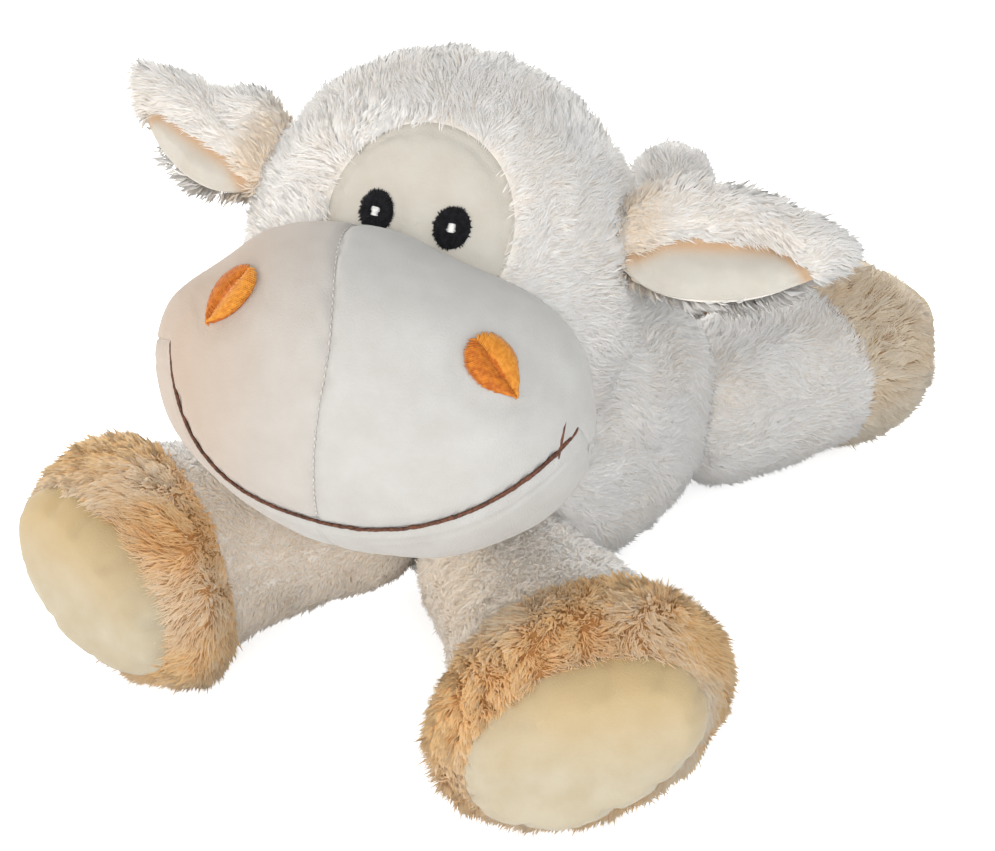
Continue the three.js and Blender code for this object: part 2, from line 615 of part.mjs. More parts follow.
function addEars(headGroup) {
  const base = onEllipsoid(EAR_ON_HEAD, headRadii);
  const frame = new THREE.Matrix4().makeTranslation(base)
    .multiply(new THREE.Matrix4().makeRotationZ(radians(EAR_SWEEP)))
    .multiply(new THREE.Matrix4().makeRotationY(radians(-EAR_RISE)))
    .multiply(new THREE.Matrix4().makeRotationX(radians(-EAR_TWIST)));
  const halfLength = (EAR_LENGTH + EAR_ROOT_DEPTH) / 2;
  const leafForm = reshaped(new THREE.SphereGeometry(1, ...EAR_FACETS), (point) => {
    const taper = 1 - EAR_TAPER * point.x;
    point.multiply(new THREE.Vector3(halfLength, EAR_THICKNESS / 2, (EAR_WIDTH / 2) * taper));
    point.x += halfLength - EAR_ROOT_DEPTH;
  });
  const lining = (growth) => {
    const shape = oval(EAR_LINING_LENGTH + 2 * growth, EAR_LINING_WIDTH + 2 * growth);
    const block = extruded(shape, EAR_THICKNESS).rotateX(Math.PI / 2);
    const along = (EAR_LINING_LENGTH + EAR_ROOT_DEPTH) / 2;
    return solidOf(block.translate(along, growth, -EAR_LINING_DROP));
  };
  const leafSolid = solidOf(leafForm);
  const flapAxis = new THREE.Vector3(0, 0, 1).transformDirection(frame);
  const headInWay = ellipsoid(grown(headRadii, JOINT_CLEARANCE), FORM_FACETS);
  const angles = [-EAR_FORWARD, -EAR_FORWARD / 2, 0, EAR_BACK / 2, EAR_BACK];
  const sweep = angles.map((angle) => moved(headInWay, turnAbout(base, flapAxis, angle)));
  const pieces = {
    outer: [leafSolid.subtract(lining(SEAM_CLEARANCE)), WHITE_PILE],
    lining: [leafSolid.intersect(lining(0)), CREAM_SHORT_PILE],
  };
  for (const [side, sign] of Object.entries(SIDES)) {
    const pivot = base.clone().multiply(new THREE.Vector3(sign, 1, 1)).applyMatrix4(headPlace);
    const group = bodyGroup(`ear_${side}`, headGroup, pivot);
    for (const [piece, [solid, material]] of Object.entries(pieces)) {
      const cut = cutBy(moved(solid, frame), sweep);
      const handed = sign > 0 ? cut : cut.mirror([1, 0, 0]);
      addPiece(group, `ear_${side}_${piece}`, moved(handed, headPlace), material);
    }
  }
}

// The whole sheep, with its origin on the floor under the middle of its bounding box

addBody([...LEGS.map(addLeg), addTail()]);
addHead();
const box = new THREE.Box3().setFromObject(sheep, true);
const middle = box.getCenter(new THREE.Vector3());
sheep.position.set(-middle.x, -middle.y, -box.min.z);
sheep.updateMatrixWorld(true);

export default sheep;
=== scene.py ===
import json

import bmesh
import bpy
import numpy as np
from mathutils import Matrix, Vector


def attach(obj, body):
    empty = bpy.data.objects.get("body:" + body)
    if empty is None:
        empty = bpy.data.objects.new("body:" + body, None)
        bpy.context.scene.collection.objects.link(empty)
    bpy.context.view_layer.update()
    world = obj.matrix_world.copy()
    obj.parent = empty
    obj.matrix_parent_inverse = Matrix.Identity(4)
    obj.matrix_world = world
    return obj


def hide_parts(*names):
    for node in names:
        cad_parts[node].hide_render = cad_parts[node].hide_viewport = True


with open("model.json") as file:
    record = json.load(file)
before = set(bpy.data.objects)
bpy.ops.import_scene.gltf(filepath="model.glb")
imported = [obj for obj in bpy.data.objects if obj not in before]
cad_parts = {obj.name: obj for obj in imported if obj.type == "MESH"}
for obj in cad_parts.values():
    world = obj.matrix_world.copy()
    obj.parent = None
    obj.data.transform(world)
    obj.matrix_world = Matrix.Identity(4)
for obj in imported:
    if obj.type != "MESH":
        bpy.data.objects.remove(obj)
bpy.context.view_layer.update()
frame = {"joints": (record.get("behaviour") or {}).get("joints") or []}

# A plush sheep that lies on its belly: sewn covers of long and short pile, embroidery and stuffing.
# Lengths are millimetres in a layout with the body's middle at x = y = 0 and the floor at z = 0.
# The sheep looks along -Y and its left side is +X. A mesh is put into metres when it is made.

MM = 0.001
UP = np.array([0.0, 0.0, 1.0])
MIRROR = np.array([-1.0, 1.0, 1.0])
SIDES = {"left": 1, "right": -1}

# Cloth
SKIN_DEPTH = 3.8  # backing of the long pile, under the outside of the solids
SKIN_CLEARANCE = -3.0  # where a skin stops, from the outside of the solid in its way
BACKING = 2.0  # thickness of the backing
SHORT_CLOTH = 3.0  # thickness of the smooth covers
WAD_DEPTH = 9.0  # stuffing under the outside of the solids
JOINT_ROOM = 0.6  # between pieces that move on each other
FLOOR_RISE = 0.4  # lowest that cloth and pile come to the floor
MERGE = 1e-5  # metres within which points are one
HALVINGS = 18  # steps in which a point is drawn clear of what blocks it
CLOTH_SCALE, CLOTH_PRESSURE, CLOTH_SLACK, CLOTH_FRAMES = 10.0, 20.0, 0.03, 20
FACE_CAP, MUZZLE_CAP, LINING_CAP, SOLE_CAP = 0.8, 0.7, 1.2, 2.0  # most that a cover may swell
LUMP_HEIGHT = 0.5  # lumps of the stuffing

# Body
BODY = np.array([118.0, 190.0, 120.0])
BODY_FULLNESS = 2.5
BODY_PEAR = 0.08
BODY_CENTRE = np.array([0.0, 0.0, 59.5])
BELLY_SEAM = 16.0

# Head and neck
HEAD = np.array([154.0, 118.0, 164.0]) / 2
HEAD_TURN, HEAD_ROLL, HEAD_LIFT = 18.3, 5.9, 12.3
NECK_ON_BODY = np.array([0.06, -0.677, 0.736])
NECK_ON_HEAD = np.array([0.058, 0.565, -0.831])
NECK_SINK = 4.0
NECK_RADIUS = 26.0
NODS = (-14.0, 0.0, 3.0)  # degrees, up and down
LOOKS = (-28.0, 0.0, 8.0)  # degrees, to the right and to the left

# Muzzle
MUZZLE = np.array([159.0, 102.0, 120.0]) / 2
MUZZLE_REACH, MUZZLE_DROP, MUZZLE_DIP = 6.0, 34.0, 19.9
MOUTH_LOW = 21.0
MOUTH_SIDES = {1: (77.0, 34.0, 2.1), -1: (63.5, 42.0, 4.2)}  # end across, rise and power, left and right
MOUTH_THREAD = (0.4, 0.85)  # half width of a mouth stitch at the right and at the left corner
TOP_DIP, LEFT_SWELL, RIGHT_SINK = 3.5, 3.5, 6.5  # top under the eyes, left and right shoulder
SEAM_SHIFT = -15.0  # how far the middle seam strays to the right on its way up to the face
CHIN_SWELL = -1.5  # a chin that is tucked in
CHIN_FOLD = 9.0  # second seam under the mouth
NOSTRIL_ACROSS, NOSTRIL_SHIFT, NOSTRIL_HEIGHT, NOSTRIL_TILT = 47.0, 4.0, 41.5, 2.0
NOSTRIL_LENGTH, NOSTRIL_WIDTH = 23.5, 17.6
NOSTRIL_SLANT = {1: -70.0, -1: 275.0}

# Face
FACE_HALF, FACE_TOP, FACE_MIDDLE, FACE_SHIFT = 34.0, 59.0, 24.0, 2.0
FACE_DEPTH = 3.3  # smooth face under the outside of the head
EYE_ACROSS, EYE_HEIGHT = 13.6, 26.8
EYE_HALF = np.array([6.6, 7.5])
HIGHLIGHT = np.array([3.2, 2.4])

# Ears
EAR_ON_HEAD = np.array([0.92, -0.19, 0.33])
EAR_HALF = np.array([47.0, 7.0, 25.0])
EAR_MIDDLE = 37.0
EAR_TAPER = 0.22
EAR_INSET, EAR_THINNING = 4.0, 3.5  # skin under the solid's edges and faces
EAR_SWEEP, EAR_RISE, EAR_TWIST = 20.0, 6.0, 28.0
EAR_FLAPS = (-20.0, -10.0, 0.0, 10.0, 20.0)
EAR_CUP = 5.0  # how far the edges come forward
EAR_BEND = {1: 0.0, -1: 11.0}  # how far the tip of the left and of the right ear is turned up
EAR_UPPER = {1: 0.85, -1: 0.5}  # what folding back leaves of the upper half's width
EAR_LIP = 5.5  # how far the shaggy upper half stands in front of the lining
LIP_EDGE = {1: -1.0, -1: -8.0}  # height of the lip's edge on the left and on the right ear
LINING_HALF = np.array([38.0, 15.0])
LINING_MIDDLE = np.array([36.0, -8.0])
LINING_RIM = 0.6  # shaggy rim between the lining and the lower edge

# Legs
HIP_STANDOFF = 8.0
SOLE_RADIUS, SOLE_PUFF, SOLE_STRETCH, STRETCH_CURVE = 29.0, 14.0, 0.55, 2.6
FOOT_ROLL, FOOT_TILT = 28.0, 7.0
FLAT_DEPTH = 0.5
FRONT = {"hip": (0.553, -0.842, -0.258), "forward": -1, "length": 120, "foot_length": 36,
         "radii": (34, 39, 43, 43), "swings": (10, 15), "tan": 0.95}
HIND = {"hip": (0.55, 0.85, -0.25), "forward": 1, "length": 104, "foot_length": 46,
        "radii": (38, 42, 44, 48), "swings": (2, 20), "tan": 0.15}
LEGS = (
    {**FRONT, "name": "front_left", "side": 1, "splay": 65, "foot_splay": 38},
    {**FRONT, "name": "front_right", "side": -1, "splay": 44, "foot_splay": 3},
    {**HIND, "name": "hind_left", "side": 1, "splay": 16, "foot_splay": 14},
    {**HIND, "name": "hind_right", "side": -1, "splay": 16, "foot_splay": 14},
)

# Tail
TAIL_ON_BODY = np.array([0.0, 0.86, 0.62])
TAIL_RADIUS, TAIL_ROOT, TAIL_LENGTH, TAIL_LEAN, TAIL_STANDOFF = 20.0, 15.0, 46.0, 24.0, 6.0
TAIL_WAGS = (-20.0, 0.0, 20.0)

# Pile: strands to a square millimetre, length, half width, lean from upright, gathering of tips into
# tufts, share of the warm tint and how much that share strays in broad blotches
LONG_PILE = {"density": 1.6, "length": 7.4, "width": 0.13, "lean": 48.0, "gather": 0.3, "tuft": 4.5,
             "tint": 0.08, "blotch": 0.1}
HIND_LEG_PILE = {**LONG_PILE, "density": 1.45, "length": 7.0, "tint": 0.1}
# The front legs' larger share of the warm tint is painted warm shade.
FRONT_LEG_PILE = {**LONG_PILE, "density": 1.4, "length": 5.2, "width": 0.11, "lean": 56.0, "tuft": 3.5,
                  "tint": 0.2}
TAN_PILE = {"density": 2.1, "length": 8.4, "width": 0.12, "lean": 44.0, "gather": 0.4, "tuft": 6.0,
            "blotch": 0.3}

STRAND_FOOT, STRAND_END = 0.42, 0.58  # shares of a strand below and above its bend
STRAY_SHARE, STRAY_LENGTH = 0.08, 1.25  # strands that stand out, and how much longer they are
FLOOR_PRESS = 14.0  # height under which the floor presses the pile short
MAP_LIMITS = (0.02, 0.95)  # least and most of the warm tint
MAP_ACROSS = np.array([0.01, 0, 0.02, 0.01])  # where root, bend and tip lie on the map
MAP_UPWARD = np.array([0.02, 0.42, 0.44, 0.98])

# Stitches
STITCH_SIDES = 5
STITCH_TAPER = np.array([0.3, 0.85, 1.0, 0.85, 0.3])  # share of the width at each point of the path
STITCH_POINTS = len(STITCH_TAPER)
EYE_RAYS, HIGHLIGHT_ROWS, NOSTRIL_ROWS = 84, 6, 40
SEAM_STEP, SEAM_STITCH = 2.7, 1.7
MOUTH_STEP, MOUTH_STITCH = 2.0, 4.6

# Camera, lamps and stage
CAMERA_TARGET = np.array([14.63, -54.23, 90.0])
CAMERA_AROUND, CAMERA_ABOVE, CAMERA_DISTANCE = 36.5, 29.0, 700.0
CAMERA_FOCAL, IMAGE_WIDTH = 1680.0, 995.0  # pixels
SENSOR_WIDTH = 36.0
LAMP_TARGET, LAMP_DISTANCE = (0.0, 0.0, 0.1), 1.5  # metres
LAMPS = {  # degrees round the sheep and above the floor, size in metres, watts and colour
    "key": (38, 28, 0.5, 8.4, (1.0, 1.0, 1.0)),
    "warm_fill": (-12, 10, 0.8, 6.0, (1.0, 0.9, 0.79)),
    "cool_fill": (85, 20, 0.9, 3.0, (0.97, 0.99, 1.0)),
    "low_fill": (30, 10, 0.9, 2.0, (1.0, 0.98, 0.95)),
    "back": (200, 30, 0.8, 17.0, (1.0, 0.99, 0.97)),
    "back_side": (285, 22, 0.9, 9.0, (1.0, 0.99, 0.97)),
}
FLOOR_HALF, FLOOR_SHADE, FLOOR_GLOW = 6.0, 0.92, 0.66
WORLD_LIGHT = 0.36

# Small tools


def unit(vectors):
    """Vectors divided by their lengths."""
    return vectors / np.maximum(np.linalg.norm(vectors, axis=-1, keepdims=True), 1e-9)


def eased(share):
    """Smooth step from 0 to 1."""
    share = np.clip(share, 0, 1)
    return share**2 * (3 - 2 * share)


def turned(axis, degrees):
    """Rotation matrix about "X", "Y", "Z" or a vector."""
    if not isinstance(axis, str):
        axis = Vector(axis)
    return np.array(Matrix.Rotation(np.radians(degrees), 3, axis))


def turned_about(points, pivot, turn):
    """Points turned about a pivot."""
    return (points - pivot) @ turn.T + pivot


def on_side(points, sign):
    """Points or directions of a left piece, mirrored for a right one, and back again."""
    return points if sign > 0 else points * MIRROR


def any_of(tests):
    """True where at least one of several tests of the same points is true."""
    return np.logical_or.reduce(list(tests))


class Place:
    """A frame of its own in the layout: a turn and an origin."""

    def __init__(self, turn, origin):
        self.turn = turn
        self.origin = np.asarray(origin, float)

    def out(self, points):
        """From this frame to the layout."""
        return points @ self.turn.T + self.origin

    def back(self, points):
        """From the layout to this frame."""
        return (points - self.origin) @ self.turn

    def then(self, turn, origin):
        """A frame that is given in this one."""
        return Place(self.turn @ turn, self.out(np.asarray(origin, float)))

    def swung(self, pivot, turn):
        """This frame turned about a pivot."""
        return Place(turn @ self.turn, turned_about(self.origin, pivot, turn))


def ripple(points, size, seed):
    """Smooth random field from about -1 to 1: the sum of ten plane waves of about that length."""
    rng = np.random.default_rng(seed)
    waves = unit(rng.normal(size=(10, 3))) * rng.uniform(0.6, 1.6, (10, 1)) * 2 * np.pi / size
    return np.sin(points @ waves.T + rng.uniform(0, 2 * np.pi, 10)).sum(-1) / 3.2


def drawn_clear(points, anchors, blocked):
    """Points moved straight towards their anchors, just as far as they need to leave what blocks them: the
    way is halved again and again."""
    near, far = np.zeros(points.shape[:-1] + (1,)), np.ones(points.shape[:-1] + (1,))
    held = blocked(points)[..., None]
    for _ in range(HALVINGS):
        middle = (near + far) / 2
        inside = blocked(points + (anchors - points) * middle)[..., None]
        near, far = np.where(inside, middle, near), np.where(inside, far, middle)
    return np.where(held, points + (anchors - points) * far, points)


def spline(points, steps):
    """Catmull-Rom curve through points, with its ends doubled."""
    points = np.asarray(points, float)
    ends = np.vstack([points[:1], points, points[-1:]])
    place = np.linspace(0, len(points) - 1, steps + 1)
    first = np.minimum(place.astype(int), len(points) - 2)
    share = (place - first)[:, None]
    before, start, stop, after = (ends[first + k] for k in range(4))
    leave, arrive = (stop - before) / 2, (after - start) / 2
    cubic = 2 * start - 2 * stop + leave + arrive
    square = 3 * stop - 3 * start - 2 * leave - arrive
    return cubic * share**3 + square * share**2 + leave * share + start


def ball_directions(rise, around):
    """Unit directions of a rise and an angle round: cos cos, cos sin and sin."""
    level = np.cos(rise)
    return np.stack([level * np.cos(around), level * np.sin(around), np.sin(rise) + 0 * around], -1)


def ball_grid(rows, columns, pole="Z"):
    """Unit directions from pole to pole, with the last column on the first."""
    rise = np.linspace(-np.pi / 2, np.pi / 2, rows + 1)[:, None]
    around = np.linspace(0, 2 * np.pi, columns + 1)
    return np.roll(ball_directions(rise, around), {"Z": 0, "X": 1}[pole], axis=-1)


def half_round(sign, columns):
    """Angles from ahead round the left side to behind, or from behind round the right side."""
    return np.linspace(-np.pi / 2, np.pi / 2, columns + 1) + (0 if sign > 0 else np.pi)


# Forms of the solids


def body_point(directions):
    """A direction scaled until the sum of its parts to the power 2.5 is 1, then to the half sizes."""
    directions = np.asarray(directions, float)
    sums = (np.abs(directions) ** BODY_FULLNESS).sum(-1, keepdims=True)
    return body_from_parts(directions * sums ** (-1 / BODY_FULLNESS), 0.0)


def body_from_parts(parts, growth):
    """Parts from -1 to 1 times the half sizes. The half width grows towards the back, as a pear's."""
    half = BODY / 2 + growth + np.zeros_like(parts)
    half[..., 0] += BODY[0] / 2 * BODY_PEAR * parts[..., 1]
    return parts * half + BODY_CENTRE


def in_body(points, growth):
    """The sum of a point's parts to the power 2.5 is under 1, on a body grown all round."""
    parts = (points - BODY_CENTRE) / (BODY / 2 + growth)
    widening = 1 + BODY[0] / 2 * BODY_PEAR * parts[..., 1] / (BODY[0] / 2 + growth)
    parts = parts / np.stack([widening, np.ones_like(widening), np.ones_like(widening)], -1)
    return (np.abs(parts) ** BODY_FULLNESS).sum(-1) < 1


def in_ball(points, centre, radius):
    """Nearer to a centre than a radius."""
    return ((points - centre) ** 2).sum(-1) < radius**2


def in_ellipsoid(points, place, radii):
    """The squares of a point's parts of the radii sum to under 1."""
    return ((place.back(points) / radii) ** 2).sum(-1) < 1


def front_of(radii, across, height):
    """Front of an ellipsoid over a place across and up."""
    inside = np.maximum(1 - (across / radii[0]) ** 2 - (height / radii[2]) ** 2, 0)
    return np.stack([across, -radii[1] * np.sqrt(inside), height], -1)


HEAD_MATRIX = turned("Z", HEAD_TURN) @ turned("Y", HEAD_ROLL) @ turned("X", -HEAD_LIFT)
NECK_POINT = body_point(NECK_ON_BODY)
NECK_CENTRE = NECK_POINT - NECK_SINK * UP
NECK_TO_HEAD = HEAD_MATRIX @ (unit(NECK_ON_HEAD) * HEAD)
HEAD_PLACE = Place(HEAD_MATRIX, NECK_POINT - NECK_TO_HEAD - 2 * NECK_SINK * UP)
NOD_AXIS = HEAD_MATRIX[:, 0]
MUZZLE_PLACE = HEAD_PLACE.then(turned("X", MUZZLE_DIP), (0, -HEAD[1] - MUZZLE_REACH, -MUZZLE_DROP))
EAR_BASE = unit(EAR_ON_HEAD) * HEAD
EAR_MATRIX = turned("Z", EAR_SWEEP) @ turned("Y", -EAR_RISE) @ turned("X", -EAR_TWIST)
EAR_IN_HEAD = Place(EAR_MATRIX, EAR_BASE)
TAIL_AXIS = turned("X", -TAIL_LEAN) @ UP
TAIL_CENTRE = body_point(TAIL_ON_BODY) + TAIL_AXIS * TAIL_STANDOFF
TAIL_PIVOT = next(joint["pos_m"] for joint in frame["joints"] if joint["name"] == "tail_wag")
LAYOUT_TO_FRAME = np.array(TAIL_PIVOT) / MM - TAIL_CENTRE


def in_head_sweep(points, growth):
    """Inside the head at any of the ways it looks and nods."""
    turns = (turned("Z", look) @ turned(NOD_AXIS, nod) for look in LOOKS for nod in NODS)
    places = (HEAD_PLACE.swung(NECK_CENTRE, turn) for turn in turns)
    return any_of(in_ellipsoid(points, place, HEAD + growth) for place in places)


def in_neck(points):
    """Inside the room that covers and wads leave for the ball of the neck."""
    return in_ball(points, NECK_CENTRE, NECK_RADIUS + JOINT_ROOM)


class LegForm:
    """One leg, drawn as a left leg. Its centre line is a quadratic curve from the hip over a bend to the
    sole, and the foot is brought down until its underside is pressed flat on the floor."""

    STEPS = 300

    def __init__(self, leg):
        self.leg = leg
        self.forward, self.side, self.name = leg["forward"], leg["side"], leg["name"]
        self.root, self.calf, self.ankle, self.foot = leg["radii"]
        out, foot_out, tilt = np.radians([leg["splay"], leg["foot_splay"], FOOT_TILT])
        self.start = np.array([np.sin(out), self.forward * np.cos(out), 0])
        ahead = self.forward * np.cos(foot_out)
        self.end = np.array([np.sin(foot_out) * np.cos(tilt), ahead * np.cos(tilt), np.sin(tilt)])
        self.hip = body_point(np.array(leg["hip"])) + self.start * HIP_STANDOFF
        roll = np.radians(FOOT_ROLL)
        self.oval = np.array([self.forward * np.cos(roll), np.sin(roll)])
        self.draw_line(self.hip[2])
        lowest = self.grid(self.foot_profile(0))[..., 2].min()
        self.draw_line(self.hip[2] - lowest - FLAT_DEPTH)

    def draw_line(self, bend_height):
        """Centre line (1 - t)^2 hip + 2 t (1 - t) bend + t^2 sole, its directions and its measure."""
        bend = self.hip + self.start * self.leg["length"] / 2
        bend[2] = bend_height
        sole = bend + self.end * self.leg["length"] / 2
        t = np.linspace(0, 1, self.STEPS + 1)[:, None]
        self.points = (1 - t) ** 2 * self.hip + 2 * t * (1 - t) * bend + t**2 * sole
        self.ahead = unit((1 - t) * (bend - self.hip) + t * (sole - bend))
        steps = np.linalg.norm(np.diff(self.points, axis=0), axis=1)
        self.measure = np.concatenate([[0], np.cumsum(steps)])
        self.length = self.measure[-1]
        self.seam = self.length - self.leg["foot_length"]

    def on_line(self, along, values):
        """What the centre line holds at measures along it."""
        return np.stack([np.interp(along, self.measure, values[:, k]) for k in range(3)], -1)

    def grid(self, profile, columns=72):
        """Profile of (radius, along) points turned about the centre line. The section is stretched along
        the foot's oval axis by 1 + 0.55 (along / length) ** 2.6."""
        angles = np.linspace(0, 2 * np.pi, columns + 1)
        across = profile[:, :1, None] * np.stack([np.sin(angles), np.cos(angles)], -1)
        along = profile[:, 1][:, None] + 0 * angles
        held = np.clip(along, 0, self.length)
        ahead = unit(self.on_line(held, self.ahead))
        sideways = unit(np.cross(ahead, UP))
        upward = np.cross(sideways, ahead)
        stretch = SOLE_STRETCH * (held / self.length) ** STRETCH_CURVE
        across = across + ((across @ self.oval) * stretch)[..., None] * self.oval
        centre = self.on_line(held, self.points) + ahead * (along - held)[..., None]
        return centre + sideways * across[..., :1] + upward * across[..., 1:]

    def sleeve_profile(self, inset, steps=16):
        """Round root, then calf and ankle, as (radius, along)."""
        angles = np.linspace(-np.pi / 2, 0, steps + 1)[:-1]
        radius = self.root - inset
        root = np.stack([radius * np.cos(angles), radius * np.sin(angles)], -1)
        stations = [(radius, 0), (self.calf - inset, self.seam / 2), (self.ankle - inset, self.seam)]
        return np.vstack([root, spline(stations, steps)])

    def foot_profile(self, inset, steps=20):
        """Ankle, the thick of the foot and the sole's edge, as (radius, along)."""
        middle = (self.seam + self.length) / 2
        stations = np.array([(self.ankle, self.seam), (self.foot, middle), (SOLE_RADIUS, self.length)])
        stations[:, 0] -= inset
        return spline(stations, steps)

    def foot_skin(self):
        """Foot's skin, which ends just outside the edge of the sole."""
        middle = (self.seam + self.length) / 2
        ankle, foot = (self.ankle - SKIN_DEPTH, self.seam), (self.foot - SKIN_DEPTH, middle)
        return spline([ankle, foot, (SOLE_RADIUS - 1.5, self.length - 1)], 20)

    def on_sole(self, points, margin):
        """Over the sole and more than a margin inside its edge."""
        ahead = self.ahead[-1]
        sideways = unit(np.cross(ahead, UP))
        local = on_side(points, self.side) - self.points[-1]
        across = np.stack([local @ sideways, local @ np.cross(sideways, ahead)], -1)
        stretch = SOLE_STRETCH / (1 + SOLE_STRETCH)
        across = across - ((across @ self.oval) * stretch)[..., None] * self.oval
        return ((across**2).sum(-1) < (SOLE_RADIUS - margin) ** 2) & (local @ ahead > -5)

    def in_the_way(self, points):
        """Inside the body at any swing of the leg, apart from the hollow for the leg's root."""
        swing_in, swing_out = self.leg["swings"]
        swings = (-swing_in, -swing_in / 2, 0, swing_out / 2, swing_out)
        swung = (turned_about(points, self.hip, turned("Z", -self.forward * swing)) for swing in swings)
        hit = any_of(in_body(places, SKIN_CLEARANCE) for places in swung)
        return hit & ~in_ball(points, self.hip, self.root)

    def fitted(self, profile):
        """Grid of a cover that lies against the body and on the floor, on the leg's own side."""
        points = self.grid(profile)
        held = np.clip(profile[:, 1], 0, self.length)
        centres = self.on_line(held, self.points)[:, None] + np.zeros_like(points)
        points = drawn_clear(points, centres, self.in_the_way)
        points[..., 2] = np.maximum(points[..., 2], FLOOR_RISE)
        return on_side(points, self.side)

    def inside(self, points, inset):
        """Inside the leg, taken as a chain of balls along its centre line."""
        points = on_side(points, self.side)
        profile = np.vstack([self.sleeve_profile(inset, 6)[6:], self.foot_profile(inset, 8)])
        centres = self.on_line(profile[:, 1], self.points)
        balls = zip(centres, profile[:, 0])
        return any_of(in_ball(points, centre, radius) for centre, radius in balls)


LEG_FORMS = [LegForm(leg) for leg in LEGS]


# Meshes


def wraps(grid):
    """Whether a grid's last column lies on its first."""
    return np.allclose(grid[:, 0], grid[:, -1], atol=1e-6)


def grid_normals(grid):
    """Cross product of the steps along rows and columns, turned away from the grid's middle."""
    down = np.gradient(grid, axis=0)
    if wraps(grid):
        ring = grid[:, :-1]
        around = np.roll(ring, -1, 1) - np.roll(ring, 1, 1)
        around = np.concatenate([around, around[:, :1]], 1)
    else:
        around = np.gradient(grid, axis=1)
    normals = np.cross(down, around)
    for edge, beside in ((0, 1), (-1, -2)):
        if np.ptp(grid[edge], axis=0).max() < 1e-6:
            normals[edge] = normals[beside].mean(0)
    normals = unit(normals)
    return normals * np.sign(((grid - grid.mean((0, 1))) * normals).sum())


def grid_quads(rows, columns):
    """Corners of a grid's cells, by the points' numbers row after row."""
    index = np.arange(rows * columns).reshape(rows, columns)
    return np.stack([index[:-1, :-1], index[:-1, 1:], index[1:, 1:], index[1:, :-1]], -1).reshape(-1, 4)


def rim_quads(grid):
    """Quads between the borders of an outer grid and the same grid drawn in under it."""
    rows, columns = grid.shape[:2]
    index = np.arange(rows * columns).reshape(rows, columns)
    borders = [index[0], index[-1]]
    if not wraps(grid):
        borders += [index[:, 0], index[:, -1]]
    inner = rows * columns
    return np.concatenate([
        np.stack([b[:-1], b[1:], b[1:] + inner, b[:-1] + inner], -1) for b in borders])


def placed(points):
    """Layout points in metres of the frame."""
    return (points.reshape(-1, 3) + LAYOUT_TO_FRAME) * MM


def finished_mesh(name, points, faces, merge=False):
    """Mesh of layout points with its faces turned outward. Points that meet are merged if asked."""
    mesh = bpy.data.meshes.new(name)
    mesh.from_pydata(placed(points), [], faces)
    work = bmesh.new()
    work.from_mesh(mesh)
    if merge:
        bmesh.ops.remove_doubles(work, verts=work.verts, dist=MERGE)
        bmesh.ops.dissolve_degenerate(work, edges=work.edges, dist=MERGE / 10)
    bmesh.ops.recalc_face_normals(work, faces=work.faces)
    work.to_mesh(mesh)
    work.free()
    mesh.shade_smooth()
    return mesh


def sewn_mesh(name, grid, thickness=0.0):
    """Closed mesh of a grid. With a thickness an inner wall lies that far under it and rims join the two;
    without one the grid closes by itself. Points that meet at seams and poles are merged."""
    points, quads = grid, grid_quads(*grid.shape[:2])
    if thickness:
        inner = grid - grid_normals(grid) * thickness
        points = np.concatenate([grid.reshape(-1, 3), inner.reshape(-1, 3)])
        count = grid.shape[0] * grid.shape[1]
        quads = np.concatenate([quads, quads[:, ::-1] + count, rim_quads(grid)])
    return finished_mesh(name, points, quads.tolist(), merge=True)


def stuffed(grid, held, cap):
    """Cloth over stuffing: a trial of the grid, cut a little large and held where it is sewn, swells by
    pressure for 20 frames of cloth. It is tried at ten times its size. No point moves past the cap."""
    scene = bpy.data.scenes.new("cloth_trial")
    points = placed(grid) * CLOTH_SCALE
    keys = np.round(points / (MERGE * CLOTH_SCALE))
    _, first, welded = np.unique(keys, axis=0, return_index=True, return_inverse=True)
    welded = welded.ravel()
    faces = [list(dict.fromkeys(face)) for face in welded[grid_quads(*grid.shape[:2])].tolist()]
    mesh = bpy.data.meshes.new("cloth_trial")
    mesh.from_pydata(points[first], [], [face for face in faces if len(face) > 2])
    normals = np.empty(len(first) * 3)
    mesh.vertices.foreach_get("normal", normals)
    facing = (normals.reshape(-1, 3) * grid_normals(grid).reshape(-1, 3)[first]).sum()
    trial = bpy.data.objects.new("cloth_trial", mesh)
    scene.collection.objects.link(trial)
    seam = trial.vertex_groups.new(name="seam")
    seam.add(np.unique(welded[held.ravel()]).tolist(), 1.0, "REPLACE")
    cloth = trial.modifiers.new("cloth", "CLOTH")
    cloth.settings.quality = 3
    cloth.settings.mass = 0.05
    cloth.settings.bending_stiffness = 2.0
    cloth.settings.use_pressure = True
    cloth.settings.uniform_pressure_force = np.copysign(CLOTH_PRESSURE, facing)
    cloth.settings.shrink_min = -CLOTH_SLACK
    cloth.settings.vertex_group_mass = seam.name
    cloth.settings.effector_weights.gravity = 0.0
    cloth.collision_settings.use_collision = False
    for step in range(1, CLOTH_FRAMES + 1):
        scene.frame_set(step)
    swollen = trial.evaluated_get(scene.view_layers[0].depsgraph).data
    moved = np.empty(len(first) * 3)
    swollen.vertices.foreach_get("co", moved)
    moved = (moved.reshape(-1, 3) - points[first]) / (CLOTH_SCALE * MM)
    bpy.data.objects.remove(trial)
    bpy.data.meshes.remove(mesh)
    bpy.data.scenes.remove(scene)
    reach = np.maximum(np.linalg.norm(moved, axis=-1, keepdims=True), 1e-9)
    moved = moved * np.minimum(1, cap / reach)
    return grid + moved[welded].reshape(grid.shape)


def warm_tinted(mesh, warmth):
    """Gives each point of a mesh its share of the warm tint, by a function of its place in the layout."""
    places = np.empty(len(mesh.vertices) * 3)
    mesh.vertices.foreach_get("co", places)
    shares = np.clip(warmth(places.reshape(-1, 3) / MM - LAYOUT_TO_FRAME), 0, 1)
    layer = mesh.attributes.new("warmth", "FLOAT", "POINT")
    layer.data.foreach_set("value", shares.astype(np.float32))
    return mesh


